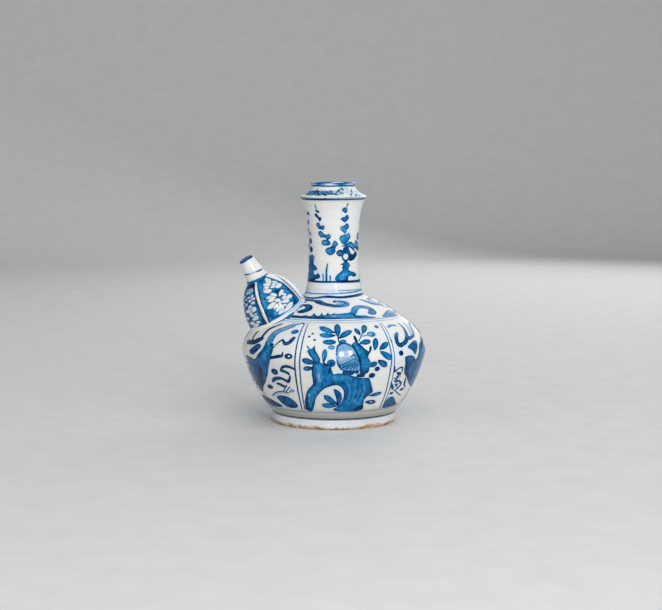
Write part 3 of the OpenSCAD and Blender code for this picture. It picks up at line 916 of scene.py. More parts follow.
class NeckArt:
    """Flowering sprays on the neck, in degrees and millimetres up from the top of the slip fillet."""

    TURNS = (0.0, 180.0)

    # The leaning stem of paired leaves left of the flower.
    LEFT_STEM = (
        fill(MID, (-52.6, 52.2), (-48, 53.4), (-44.6, 53.6), (-42.4, 51.8), (-40, 50.8), (-36.4, 51.6),
             (-33.4, 51.2), (-31.8, 50.2), (-33.4, 48.8), (-36.4, 47.8), (-40.4, 48.4), (-45, 48.4),
             (-49.4, 50)),
        fill(MID, (-48, 45.4), (-44, 46.9), (-40, 46.9), (-35.6, 45.4), (-31, 44.2), (-27, 44.2),
             (-23.4, 44.8), (-19.6, 44.2), (-18, 42.6), (-20.4, 41), (-25, 40.4), (-31, 41.6), (-36, 42),
             (-41, 41.8), (-45, 43)),
        fill(MID, (-40.4, 38.2), (-36.4, 40), (-32, 40), (-27.6, 40.6), (-23.6, 40), (-19.6, 38.4),
             (-18.4, 37), (-22, 36), (-28, 35.7), (-34, 35.7), (-38.4, 36.6)),
        fill(MID, (-31.4, 32), (-27, 33.7), (-22, 34.4), (-17, 35.2), (-14, 37.4), (-11.6, 39.2),
             (-8, 39.5), (-4, 38.4), (-2.4, 36.4), (-6, 35), (-8.4, 33.4), (-8, 31.2), (-12, 29.4),
             (-18, 28.1), (-24, 28.6), (-28.4, 30)),
        stroke(DARK, (1.4, 2, 1), (-49.4, 62.9), (-46, 62.5), (-42.6, 61.9)),
        fill(DARK, (-54.4, 60), (-50, 60.9), (-47.4, 60.4), (-44.6, 58.4), (-41, 58), (-38.4, 57.2),
             (-40, 55.4), (-43, 54.4), (-45.2, 55.8), (-48, 57), (-52, 58.2)),
        *strokes(
            GLOW, (1.6, (-48.6, 51.6), (-44.6, 51.2)), (1.8, (-43.6, 45.4), (-38, 44.4)),
            (1.4, (-26, 43.2), (-22, 43)), (1.8, (-37, 38.2), (-31.6, 38)),
            (1.8, (-26, 31.8), (-22.4, 31.8)), (1.4, (-10.8, 37.4), (-7.4, 37.4))),
        *strokes(
            LINE, ((0.5, 1, 0.8), (-49, 68.6), (-48.6, 66.6), (-48, 64.4)),
            ((0.5, 0.9, 0.5), (-18, 33.4), (-13, 34.2), (-8, 34.6))),
    )

    # The upright stem of stacked leaves over the flower.
    RIGHT_STEM = (
        fill(MID, (5.8, 64), (9, 65.4), (13, 65.8), (16.6, 64.8), (17.6, 62.4), (15, 61.2), (11, 61.7),
             (8, 62.7)),
        fill(MID, (2.8, 48.8), (6, 50.8), (11, 51.2), (15, 52.2), (17, 53.1), (21, 52.7), (24.2, 50.4),
             (22, 48.7), (18.8, 48.2), (18.6, 46.4), (15, 44.9), (11, 45.9), (7, 47.2)),
        fill(MID, (1.2, 41.6), (5, 43.4), (10, 43.8), (14, 44.6), (18, 44.2), (21, 45), (24, 45.6),
             (27.4, 44), (29.4, 42), (26, 40.1), (22, 38.3), (17, 36.8), (11, 36.6), (6, 37.8),
             (2.8, 39.8)),
        fill(DEEP, (3.8, 56.4), (8, 57.9), (13, 58.2), (16, 59.6), (19, 59.8), (22, 58.2), (23.2, 57),
             (20, 55.8), (17, 54.4), (13, 54), (9, 54.7)),
        *strokes(
            GLOW, (1.2, (9, 64.4), (14, 64.6)), (1.4, (8, 56.6), (13, 56.4)),
            (1.8, (6.6, 49.2), (12, 48.4)), (1, (18, 51), (20.6, 50.8)), (2, (4.6, 41.4), (10, 41.2)),
            (1.2, (21.4, 43.4), (24.4, 43.4))),
        stroke(LINE, (0.6, 1, 0.5), (17.4, 69.4), (16.4, 68), (15, 66)),
    )

    # The open flower with its white eye, arched leaf, dark petal and the leaf beyond it.
    FLOWER = (
        fill(HALF, (42, 36.4), (46, 38.6), (50, 39.4), (56, 38.6), (62, 37), (68, 35), (68, 31.6),
             (60, 30.8), (54, 31.2), (50, 32.8), (45, 32.8), (42, 34)),
        fill(HALF, (8, 34.8), (13, 36), (18, 36.4), (22, 37.4), (28, 38), (34, 37.5), (38, 36),
             (42, 34.6), (42, 31.8), (38, 32.4), (34, 33.6), (30, 34.2), (24, 34.6), (16, 35)),
        oval(HALF, (61, 42.2), 8, 3),
        fill(DEEP, (-6.4, 30), (-2, 32), (4, 32.5), (9, 31.8), (10, 33.2), (14, 34.6), (20, 35),
             (25, 33.6), (28.4, 31), (29, 29), (25, 27), (24, 24.4), (18, 23.2), (10, 23.8), (6.4, 26.2),
             (5, 27.4), (0, 27.2), (-4, 28.4)),
        *strokes(SHADE, (3.4, (50, 33), (58, 33), (67, 33.4)), (2.6, (52, 32.6), (60, 32.6), (67, 33))),
        stroke(GLOW, 1.6, (0, 29.6), (5, 29.8)),
        *strokes(
            LINE, ((0.8, 1, 1.2, 1.2, 0.8), (8, 35), (18, 36.3), (28, 37.9), (36, 36.8), (43, 34.2)),
            ((0.7, 1.1, 1.4, 1.2), (21, 35), (30, 34.2), (36, 32.8), (42, 31.4))),
        fill(LINE, (25, 28.6), (28.4, 29.6), (33, 28.7), (38, 28.6), (43, 30), (48, 31.2), (53, 29.2),
             (56.4, 27.8), (50, 26.4), (44, 24.9), (38, 23.9), (30, 23.3), (25.4, 23.6), (24, 25.6)),
        oval(SPARE, (16.4, 26.9), 6.6, 2.3),
        fill(SPARE, (24.6, 33.5), (28.4, 33.4), (32.4, 32.5), (36.4, 31), (41.4, 29.8), (37, 28.9),
             (33, 29), (29, 30.6)),
    )

    # The rock that the flower grows from, and blades of grass beside it.
    GROUND = (
        *strokes(PALE, (1.2, (-35.6, 8.6), (-36.4, 13)), (1.3, (-20, 8.6), (-20.2, 11.6))),
        fill(MID, (4.6, 21.2), (9, 21.6), (12, 23), (18, 23.2), (22, 22.4), (26, 21), (27.4, 19.6),
             (24.4, 18.4), (22, 16.8), (26, 15.6), (33, 14.8), (38, 14.4), (44, 13.2), (48, 12),
             (43, 10.9), (36, 10.8), (29, 11.8), (23.6, 11.4), (20.4, 9.6), (18, 8), (-6, 8),
             (-9.6, 10.2), (-5, 12.6), (0, 14.2), (6, 15.9), (8, 17.4), (7, 18.6), (9, 20)),
        stroke(HALF, (1.6, 1.6, 1.2, 0.7), (-28.4, 8.6), (-28.8, 14), (-28, 18), (-26, 21.4)),
        *strokes(GLOW, (1.6, (2, 10.8), (9, 12.4), (18, 13)), (1.2, (5, 9.2), (10, 9.2))),
        stroke(SHADE, 2, (13, 19), (16, 21)),
        *strokes(LINE, (0.9, (35, 12.6), (40, 12.4), (46, 12)), (0.9, (5, 20.9), (8, 21), (12, 20))),
    )

    # The dark plant a quarter of the way round, a stack of leaves on a rock.
    SIDE_PLANT = (
        *ovals(
            DARK, ((-75, 32), 7.4, 2.3), ((-90, 35), 6.4, 2), ((-77, 38.6), 6.6, 2.2),
            ((-78.4, 60.4), 6.4, 1.4)),
        *ovals(DEEP, ((-91, 46.6), 6, 2), ((-84, 53.4), 6, 1.9)),
        fill(DEEP, (-82, 27), (-72, 27.8), (-66, 27.4), (-61, 25.6), (-64, 23.6), (-64.6, 20.6),
             (-58, 19.4), (-52, 17), (-58, 16), (-63, 15.4), (-63.4, 13.6), (-58, 12.2), (-52, 13.4),
             (-47, 13.2), (-43.6, 11), (-47, 9.8), (-54, 9), (-62, 8), (-90, 8), (-104, 8.6),
             (-112, 10.4), (-104, 12.6), (-94, 13.4), (-88, 14.4), (-94, 16.6), (-104, 18), (-96, 20),
             (-88, 21), (-92, 24), (-90, 26.4)),
        oval(HALF, (-78, 44.4), 5, 1.3),
        oval(GLOW, (-68, 25.4), 4, 1),
        stroke(GLOW, 1.4, (-84, 11), (-70, 10.8)),
    )

    # The thick uneven ring on the slip fillet and the thin one above, in millimetres up.
    FILLET_RINGS = (
        stroke(MID, 2.3, (-180, 3.4), (-120, 2.2), (-60, 1.5), (-40, 3), (-25, 4.2), (0, 3.5), (20, 4),
               (60, 5), (120, 4.4), (180, 3.4)),
        stroke(PALE, 0.9, (-180, 7.4), (-90, 6.4), (-30, 6.6), (10, 7.2), (60, 8.2), (120, 8), (180, 7.4)),
        stroke(SHADE, 1.2, (-25, 4.6), (0, 3.8), (20, 4.3), (60, 5.3)),
    )

    @staticmethod
    def rings(length: float) -> tuple[Mark, ...]:
        """Ring under the flowers, thin ring at the fillet, and the line at the wall's far end."""
        return (
            stroke(
                DEEP, (1.6, 1.5, 1.4, 1.3, 1.6, 2, 2.2, 2, 1.6), (-180, 7.4), (-120, 7.2), (-80, 7.3),
                (-40, 7.2), (0, 7.3), (40, 7.1), (70, 7), (120, 7.2), (180, 7.4),
            ),
            band(LINE, 0.6, 6.8, 0.3),
            band(PALE, 0.8, -0.2, 0.5),
            band(DARK, 1.8, length - 0.5, 0.2),
        )

    @classmethod
    def paintings(cls, length: float) -> tuple[Painting, ...]:
        """All that is painted on the neck, whose wall has this length."""
        sprays = cls.SIDE_PLANT + cls.GROUND + cls.FLOWER + cls.LEFT_STEM + cls.RIGHT_STEM
        return (Painting(sprays, cls.TURNS), Painting(cls.rings(length)))


class MouthArt:
    """Hatched band on the flange, in degrees and millimetres in from its edge."""

    TURNS = (0.0, 180.0)
    DRIFT_MM = 0.5
    RINGS = (band(HALF, 0.6, -1.0, 0.2, 3),)

    # Crossed lines over soft washes, with firmer strokes between them.
    CROSSED = (
        ((-90, 9), (-76, 5.4), (-62, 2.4)), ((-80, 3), (-70, 5.4), (-62, 8.8)),
        ((-62, 5), (-56, 7.2), (-51, 9.4)), ((-56, 9.6), (-46, 6), (-38, 2.4)),
        ((-47, 2.8), (-41, 5.4), (-36, 8.6)), ((-33, 9.2), (-24, 6.4), (-14, 4)),
        ((-27, 3.6), (-20, 6.6), (-15, 9.2)), ((-9, 4.6), (-3, 7.6), (7, 11)),
        ((0, 9.8), (5, 6.8), (9, 4.4)), ((70, 8.6), (78, 6), (84, 3)), ((72, 3.6), (80, 6), (88, 9)),
    )
    HATCH = (
        *ovals(TINT, ((4, 7.2), 8, 3), ((82, 6), 18, 3)),
        *ovals(MIST, ((18, 9), 14, 2.6), ((40, 5), 20, 3.4)),
        *strokes(
            HALF, ((0.8, 1.4, 0.8), (22, 1.4), (27, 4.4), (36, 6.4)), (1, (32, 7), (40, 9.4)),
            (1, (54, 8), (66, 4))),
        *strokes(
            MID, ((1.2, 1.8), (11, 11.2), (12, 9.8)), ((0.8, 1.6, 0.8), (30, 0.8), (38, 2.8), (46, 4.6))),
        oval(HALF, (-68, 5.6), 18, 3.2),
        *ovals(PALE, ((-42, 5.6), 13, 3.4), ((-20, 6.4), 11, 2.6)),
        *strokes(
            DEEP, (1.6, (-37, 6.4), (-31, 4.4), (-26, 2.8)), (1.4, (-54, 4.6), (-50, 5.6), (-46, 8)),
            (2, (-58, 3.4), (-56, 6.4), (-55, 9)), (1.6, (-76, 3.4), (-70, 6), (-66, 8))),
        oval(TINT, (-6, 6.4), 8, 2.6),
        stroke(DEEP, 1.4, (-16, 6.4), (-10, 5), (-5, 3.6)),
        stroke(HALF, (0.6, 1.4, 0.6), (40, 1.2), (50, 2.6), (60, 1.6)),
        *(stroke(LINE, (0.6, 1.2, 0.7), *points) for points in CROSSED),
        *strokes(
            LINE, ((0.4, 0.7, 0.4), (-72, 3), (-52, 3.4), (-34, 3.2)),
            ((0.3, 0.6, 0.4), (-26, 3.8), (-12, 4.2), (2, 4))),
    )

    @classmethod
    def paintings(cls) -> tuple[Painting, ...]:
        """All that is painted on the flange."""
        return (Painting(cls.HATCH, cls.TURNS, cls.DRIFT_MM), Painting(cls.RINGS))


class SpoutArt:
    """Lobes of the spout's bulb, in degrees about its axis and millimetres from the collar."""

    TURNS = (0.0, 180.0)

    # White petals spared on a blue lobe, with bright gaps and dark hearts.
    PETALS = (
        ((63, 1.6), (70, 8), 3.4), ((61, 7.6), (54, 11.8), 2.2), ((90, 6), (73, 9.2), 2.9),
        ((95, 8.7), (81, 10.6), 2.1), ((100, 11.3), (82, 14), 3), ((79, 11.9), (65, 12.3), 2.2),
        ((70, 9.6), (59, 11.3), 1.7), ((69, 14.4), (50, 14.2), 3.1), ((88, 16), (79, 19.8), 2.4),
        ((102, 17.4), (87, 18.6), 1.9), ((101, 20.6), (85, 20.4), 3), ((88, 22.2), (79, 24.4), 2.4),
        ((76, 21.4), (59, 19.1), 2.4), ((67, 21.8), (61, 23.4), 2), ((74, 24), (63, 24.9), 2),
        ((67, 26), (51, 26.6), 2.7), ((79, 26.4), (63, 28.2), 2.6), ((109, 25.2), (89, 24.4), 3.2),
        ((98, 28), (87, 26.2), 2.6), ((87, 26.6), (78, 25.8), 1.8), ((97, 30), (79, 29.4), 3.6),
        ((96, 33), (81, 32.2), 2.4), ((77, 28.8), (73, 30.8), 1.4), ((86, 34.2), (60, 31.4), 3),
    )
    PETAL_GROWTH = 1.24
    HEARTS = (
        (72, 17.6), (66, 17.6), (104, 17.4), (110, 26.3), (57, 18.4), (51, 27.6), (58, 33), (77, 21.4),
    )
    BLOSSOMS = (
        fill(MID, (56, -2), (70, -3), (90, -3), (105, -2), (109, 4), (111.4, 9), (113.4, 15), (115.6, 21),
             (116.2, 30), (116, 37), (92, 37.4), (64, 37), (43, 35.2), (41.6, 24), (42.2, 15), (46.4, 9)),
        *ovals(PALE, ((84, 10.4), 14, 3), ((80, 28.4), 17, 4)),
        stroke(TINT, 2.4, (44, 35), (70, 36), (100, 36.4), (114, 36.4)),
        oval(SHADE, (86, 1.4), 14, 1.6),
        *strokes(
            SHADE, (2.4, (76, 17), (70, 18)), (2.4, (110, 28), (108, 33), (98, 34)),
            (2, (48, 13), (46, 20)), ((2, 3.4, 3), (48, 21), (47, 27), (51, 32.6))),
        *strokes(
            GLOW, (2.4, (108, 19), (107, 23)), (2.4, (100, 31), (94, 31.6)), (2.2, (56, 21.8), (52, 23))),
        *(oval(LINE, heart, 2.6, 1) for heart in HEARTS),
        *strokes(LINE, (0.8, (60, 37), (90, 37.2), (112, 37.2)), (0.6, (36, 14), (36, 24), (36.6, 34))),
        *petals(PETAL_GROWTH, PETALS),
    )

    # Dark lines either side of the white ribs.
    RIBS = strokes(
        LINE, ((0.4, 0.6, 0.6), (-9, 4), (-4.6, 16), (-2.8, 36)),
        ((0.4, 0.6, 0.6), (-0.4, 4), (3.6, 16), (5.6, 36)),
    )

    # Small overlapping white petals on the lobes between, and the dark gaps among them.
    SCALES = (
        ((164, 7.6), (147, 6.6), 1.6), ((141, 12.2), (130, 10), 1.7), ((155, 11.2), (143, 10.8), 1.4),
        ((149, 14.2), (140, 13.6), 1.9), ((138, 13.6), (126, 13), 1.6), ((141, 16), (130, 16.4), 1.9),
        ((165, 12.2), (155, 12.2), 1.3), ((154, 19), (141, 18.2), 2.2), ((145, 21.8), (132, 20.8), 3.2),
        ((171, 21.8), (146, 20.9), 2.2), ((156, 23.2), (144, 23.4), 1.5), ((154, 24.4), (142, 26), 1.9),
        ((151, 28.6), (133, 27.8), 2.8), ((141, 25.4), (133, 25.2), 1.2), ((165, 31.2), (148, 31.4), 2.6),
        ((159, 34.8), (140, 33), 2.4), ((143, 30.8), (134, 32.4), 1.6), ((166, 16.9), (154, 15.6), 1.7),
        ((180, 27), (160, 26.7), 1.9), ((180, 30.5), (168, 31), 1.4), ((172, 36), (153, 35.4), 1.6),
        ((166, 9.6), (180, 9.8), 1.7), ((168, 14.6), (186, 14.6), 1.8), ((170, 18.6), (188, 18.8), 1.9),
        ((174, 23.6), (194, 23.8), 2.2), ((184, 28), (204, 28.6), 2.2), ((182, 33), (200, 33.4), 2.2),
        ((188, 20.8), (202, 21.2), 1.8), ((186, 11.6), (199, 11.8), 1.6), ((184, 5.6), (196, 6), 1.4),
    )
    SCALE_GROWTH = 1.22
    FRONT_FAR_DEG = 203.0
    BACK_FAR_DEG = 191.0
    GAPS = (150, 16), (156, 27), (130.6, 11), (149, 9), (155, 36.4), (161, 29), (164, 24.4), (134, 18.4)

    # The nozzle's rings and two loose strokes, in millimetres down from its tip.
    NOZZLE = (
        band(DEEP, 3.2, 0.0, 0.2, 3),
        band(TINT, 0.7, 12.2, 1.5, 1, 90.0),
        band(MID, 8.0, 21.6, 0.9, 1, 90.0),
        stroke(LINE, (0.5, 1.2, 0.8), (30, 13.6), (55, 13.2), (80, 12.6)),
        stroke(LINE, (0.6, 0.9, 0.4), (120, 11.6), (150, 11), (175, 10.8)),
    )

    # Two touches on the bead of slip, in millimetres down from the bulb.
    BEAD = (
        stroke(MIST, (2, 2, 1), (40, 1.2), (58, 1.3), (76, 1)),
        stroke(LINE, (0.5, 0.9, 0.8, 0.4), (70, 2.9), (84, 2.8), (98, 2.9), (112, 3)),
    )

    # The ring at the bulb's foot.
    FOOT_RING = (band(PALE, 0.8, 38.6, 0.4),)

    @classmethod
    def scales(cls, far_deg: float) -> tuple[Mark, ...]:
        """White petals on a lobe whose wash ends at an angle."""
        return (
            fill(
                DEEP, (117.6, -2), (140, -3), (far_deg - 8, -2), (far_deg - 4, 6), (far_deg - 1, 12),
                (far_deg, 22), (far_deg, 37), (164, 37.4), (125, 37), (124.4, 28), (123.8, 20),
                (121.8, 13), (118.6, 6),
            ),
            fill(MID, (130, 9), (150, 8), (174, 9), (182, 20), (182, 34), (146, 36), (134, 30), (129, 18)),
            oval(TINT, (143, 6), 16, 2.4),
            *strokes(MID, (0.8, (150, 4), (149, 8)), (0.8, (138, 4), (137, 8))),
            stroke(SHADE, 3, (124, 2), (150, 1.4), (180, 2)),
            stroke(SHADE, (3, 5, 5), (158, 12), (164, 20), (166, 33)),
            stroke(GLOW, 2, (128, 24), (131, 31)),
            stroke(LINE, 0.9, (124, 0.5), (150, 0.5), (180, 0.5)),
            *(oval(LINE, gap, 2.6, 1) for gap in cls.GAPS),
            *petals(cls.SCALE_GROWTH, cls.SCALES),
        )

    @classmethod
    def bulb(cls, rib_angles: Sequence[float]) -> tuple[Painting, ...]:
        """All that is painted on the bulb and its ribs, which are at these angles."""
        return (
            Painting(cls.BLOSSOMS, cls.TURNS),
            Painting(cls.scales(cls.FRONT_FAR_DEG), cls.TURNS[:1]),
            Painting(cls.scales(cls.BACK_FAR_DEG), cls.TURNS[1:]),
            Painting(cls.RIBS, tuple(rib_angles), 0.0),
            Painting(cls.FOOT_RING),
        )


@dataclass
class Skin:
    """A grid of points in millimetres: rows along a profile and columns across it."""

    points: np.ndarray
    layers: dict[str, np.ndarray]
    wrap_rows: bool = True
    wrap_columns: bool = True
    first_pole: np.ndarray | None = None
    last_pole: np.ndarray | None = None
    flip: bool = False

    def vertices(self) -> np.ndarray:
        """Points of the grid in one list, its poles last."""
        poles = [pole[None, :] for pole in (self.first_pole, self.last_pole) if pole is not None]
        return np.vstack([self.points.reshape(-1, 3), *poles])

    def values(self, name: str) -> np.ndarray:
        """Values of one layer at the vertices, the poles and any skin without it bare.

        Args:
            name: name of the layer.

        Returns:
            One value for each vertex.
        """
        bare = {ink.value: ink.bare for ink in Ink}.get(name, FAR_MM)
        poles = sum(pole is not None for pole in (self.first_pole, self.last_pole))
        grid = self.layers.get(name, np.full(self.points.shape[:2], bare))
        return np.concatenate([grid.ravel(), np.full(poles, bare)])

    def faces(self, start: int) -> tuple[np.ndarray, np.ndarray]:
        """Quads of the grid and triangles at its poles.

        Args:
            start: index of the skin's first vertex.

        Returns:
            Quads and triangles as vertex indices.
        """
        rows, columns = self.points.shape[:2]
        index = np.arange(rows * columns).reshape(rows, columns) + start
        across = np.roll(index, -1, axis=1)
        low, low_next = index, across
        high, high_next = np.roll(index, -1, axis=0), np.roll(across, -1, axis=0)
        last_row = None if self.wrap_rows else -1
        last_column = None if self.wrap_columns else -1
        corners = np.stack([low, low_next, high_next, high], axis=-1)[:last_row, :last_column]
        quads = corners.reshape(-1, 4)
        pole = start + rows * columns
        fans = []
        if self.first_pole is not None:
            fans.append(np.column_stack([np.full(columns, pole), across[0], index[0]]))
            pole += 1
        if self.last_pole is not None:
            fans.append(np.column_stack([np.full(columns, pole), index[-1], across[-1]]))
        triangles = np.vstack(fans) if fans else np.zeros((0, 3), int)
        if self.flip:
            return quads[:, ::-1], triangles[:, ::-1]
        return quads, triangles


@dataclass(frozen=True)
class Hand:
    """What the thrower's hand left: a mouth that drifts towards the spout and walls out of round."""

    lean_mm: float = 0.7
    lean_from_mm: float = 100.0
    lean_over_mm: float = 90.0
    oval_share: float = 0.0012
    ripple_mm: float = 0.06
    ripple_pitch_mm: float = 7.0
    ripple_rise_mm: float = 12.0
    least_r_mm: float = 8.0

    def shape(self, points: np.ndarray) -> np.ndarray:
        """Points moved by the drift, the oval and faint throwing rings.

        Args:
            points: points in millimetres.

        Returns:
            The moved points: x leans with an eased height, x and y stretch against each other,
            and the radius ripples with a sine of the height.
        """
        x, y, z = np.moveaxis(points, -1, 0)
        lean = self.lean_mm * smooth_step((z - self.lean_from_mm) / self.lean_over_mm)
        wave = np.sin(2.0 * np.pi * z / self.ripple_pitch_mm + np.arctan2(y, x))
        radius = np.maximum(np.hypot(x, y), self.least_r_mm)
        swell = 1.0 + self.ripple_mm * wave * smooth_step(z / self.ripple_rise_mm) / radius
        moved = [x * swell * (1.0 - self.oval_share) - lean, y * swell * (1.0 - 0.5 * self.oval_share), z]
        return np.stack(moved, axis=-1)


def make_piece(name: str, skins: Sequence[Skin], hand: Hand | None) -> Piece:
    """A mesh object from skins, smooth but for its creases, with its ink distances as attributes.

    Args:
        name: name of the piece and of the node that it stands for.
        skins: grids that make up the piece.
        hand: handmade drift, or none.

    Returns:
        The object, riding on the body and replacing the node.
    """
    starts = np.cumsum([0] + [len(skin.vertices()) for skin in skins])
    points = np.vstack([skin.vertices() for skin in skins])
    points = (hand.shape(points) if hand else points) * MM
    parts = [skin.faces(int(start)) for skin, start in zip(skins, starts)]
    quads = np.vstack([part[0] for part in parts])
    triangles = np.vstack([part[1] for part in parts])
    mesh = bpy.data.meshes.new(name)
    mesh.vertices.add(len(points))
    mesh.vertices.foreach_set("co", points.astype(np.float32).ravel())
    corners = np.concatenate([quads.ravel(), triangles.ravel()]).astype(np.int32)
    mesh.loops.add(len(corners))
    mesh.loops.foreach_set("vertex_index", corners)
    firsts = np.concatenate([4 * np.arange(len(quads)), 4 * len(quads) + 3 * np.arange(len(triangles))])
    mesh.polygons.add(len(firsts))
    mesh.polygons.foreach_set("loop_start", firsts.astype(np.int32))
    mesh.polygons.foreach_set("use_smooth", np.ones(len(firsts), bool))
    mesh.update(calc_edges=True)
    mesh.validate()
    mesh.set_sharp_from_angle(angle=math.radians(CREASE_DEG))
    for layer in sorted({key for skin in skins for key in skin.layers}):
        values = np.concatenate([skin.values(layer) for skin in skins])
        attribute = mesh.attributes.new(layer, "FLOAT", "POINT")
        attribute.data.foreach_set("value", values.astype(np.float32))
    piece = bpy.data.objects.new(f"{name}_skin", mesh)
    bpy.context.scene.collection.objects.link(piece)
    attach(piece, BODY)
    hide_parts(name)
    LOG.info("%s: %d faces", piece.name, len(mesh.polygons))
    return piece


def lathe_points(profile: np.ndarray, angles: np.ndarray) -> np.ndarray:
    """Profile turned about the pot's axis: radius times sine and minus cosine of the angle.

    Args:
        profile: radius and height of each row.
        angles: angle of each column in degrees from the front.

    Returns:
        Points, rows by columns.
    """
    turn = np.radians(angles)
    radius, height = profile[:, :1], profile[:, 1:]
    level = np.broadcast_to(height, (len(profile), len(angles)))
    return np.stack([radius * np.sin(turn), -radius * np.cos(turn), level], axis=-1)


def round_angles(count: int) -> np.ndarray:
    """Angles of evenly spread columns in degrees."""
    return np.arange(count) * (360.0 / count)


def run_of(start: Point, end: Point, count: int) -> np.ndarray:
    """Radius and height of points on a straight run, with its end left out."""
    share = np.linspace(0.0, 1.0, count, endpoint=False)[:, None]
    return np.array(start, float) + share * (np.array(end, float) - np.array(start, float))


def named(layers: dict[Ink, np.ndarray], before: int = 0, after: int = 0) -> dict[str, np.ndarray]:
    """Layers by name, with so many bare rows before and after the painted ones."""
    edges = ((before, after), (0, 0))
    return {ink.value: np.pad(rows, edges, constant_values=ink.bare) for ink, rows in layers.items()}


def turned_skin(
    rows: Sequence[np.ndarray],
    along: np.ndarray,
    columns: int,
    paintings: Iterable[Painting],
    wall: Meridian,
) -> Skin:
    """Skin of a section turned about the pot's axis and painted on its wall.

    Args:
        rows: radius and height of the rows before the wall, on it and after it.
        along: length along the painted meridian at each row of the wall.
        columns: number of columns round the axis.
        paintings: what is painted there.
        wall: meridian that the painting is measured on.

    Returns:
        The skin, bare before and after the wall.
    """
    angles = round_angles(columns)
    grid_angles, grid_along = np.meshgrid(angles, along)
    inks = painted(paintings, grid_angles, grid_along, wall)
    layers = named(inks, len(rows[0]), len(rows[2]))
    return Skin(lathe_points(np.vstack(rows), angles), layers)


class Shader:
    """Adds and links the nodes of one material."""

    BUMP_STRENGTH = 0.5

    def __init__(self, name: str) -> None:
        """Starts an empty material with an output.

        Args:
            name: name of the material.
        """
        self.material = bpy.data.materials.new(name)
        self.material.use_nodes = True
        self.tree = self.material.node_tree
        self.tree.nodes.clear()

    def add(self, kind: str, inputs: dict | None = None, **settings: object) -> bpy.types.Node:
        """Adds a node, sets its properties, and sets or links its inputs.

        Args:
            kind: type of the node.
            inputs: value or output socket for each input, by name or number.
            settings: properties of the node.

        Returns:
            The node.
        """
        node = self.tree.nodes.new(kind)
        for key, value in settings.items():
            setattr(node, key, value)
        for key, value in (inputs or {}).items():
            if isinstance(value, Socket):
                self.tree.links.new(value, node.inputs[key])
            else:
                node.inputs[key].default_value = value
        return node

    def place(self) -> Socket:
        """Place on the piece in its own coordinates."""
        return self.add("ShaderNodeTexCoord").outputs["Object"]

    def attribute(self, name: str) -> Socket:
        """Value of a layer that is stored at the vertices."""
        return self.add("ShaderNodeAttribute", attribute_name=name).outputs["Fac"]

    def math(self, operation: str, first: object, second: object = 0.0, clamp: bool = False) -> Socket:
        """Result of one sum on two sockets or numbers, held from 0 to 1 if it is clamped."""
        node = self.add("ShaderNodeMath", {0: first, 1: second}, operation=operation, use_clamp=clamp)
        return node.outputs[0]

    def noise(self, scale: float, detail: float, vector: Socket, roughness: float = 0.5) -> Socket:
        """Noise value at a scale in cells per metre, with so many octaves of detail."""
        inputs = {"Vector": vector, "Scale": scale, "Detail": detail, "Roughness": roughness}
        return self.add("ShaderNodeTexNoise", inputs).outputs[0]

    def remap(
        self, value: Socket, low: float, high: float, to_low: float, to_high: float, eased_ends: bool = False
    ) -> Socket:
        """Value moved from one range to another and held inside it.

        Args:
            value: socket to move.
            low: start of its range.
            high: end of its range.
            to_low: result at the start.
            to_high: result at the end.
            eased_ends: whether the change is eased at both ends.

        Returns:
            The result's socket.
        """
        inputs = {"Value": value, "From Min": low, "From Max": high, "To Min": to_low, "To Max": to_high}
        style = "SMOOTHSTEP" if eased_ends else "LINEAR"
        return self.add("ShaderNodeMapRange", inputs, interpolation_type=style, clamp=True).outputs[0]

    def mix(self, share: object, first: object, second: object, style: str = "MIX") -> Socket:
        """Colour mixed from two colours or sockets, by the share of the second."""
        inputs = {0: share, 6: first, 7: second}
        return self.add("ShaderNodeMix", inputs, data_type="RGBA", blend_type=style).outputs[2]

    def ramp(self, value: Socket, stops: Sequence[tuple[float, Colour]]) -> Socket:
        """Colour read from a ramp of stops.

        Args:
            value: place on the ramp.
            stops: place and colour of each stop, in order.

        Returns:
            The colour's socket.
        """
        node = self.add("ShaderNodeValToRGB", {0: value})
        elements = node.color_ramp.elements
        while len(elements) < len(stops):
            elements.new(1.0)
        for element, (place, colour) in zip(elements, stops):
            element.position = place
            element.color = colour
        return node.outputs[0]

    def close(
        self, colour: object, roughness: object, bump: Socket, bump_mm: float, **constants: float
    ) -> Material:
        """Ends the material in one shader with a bump.

        Args:
            colour: base colour or its socket.
            roughness: roughness or its socket.
            bump: height of the bump.
            bump_mm: depth of the bump in millimetres.
            constants: other inputs of the shader by name, with _ for a space.

        Returns:
            The finished material.
        """
        relief = {"Height": bump, "Strength": self.BUMP_STRENGTH, "Distance": bump_mm * MM}
        normal = self.add("ShaderNodeBump", relief).outputs[0]
        inputs = {"Base Color": colour, "Roughness": roughness, "Normal": normal}
        inputs.update({key.replace("_", " "): value for key, value in constants.items()})
        surface = self.add("ShaderNodeBsdfPrincipled", inputs)
        output = self.add("ShaderNodeOutputMaterial")
        self.tree.links.new(surface.outputs[0], output.inputs["Surface"])
        return self.material


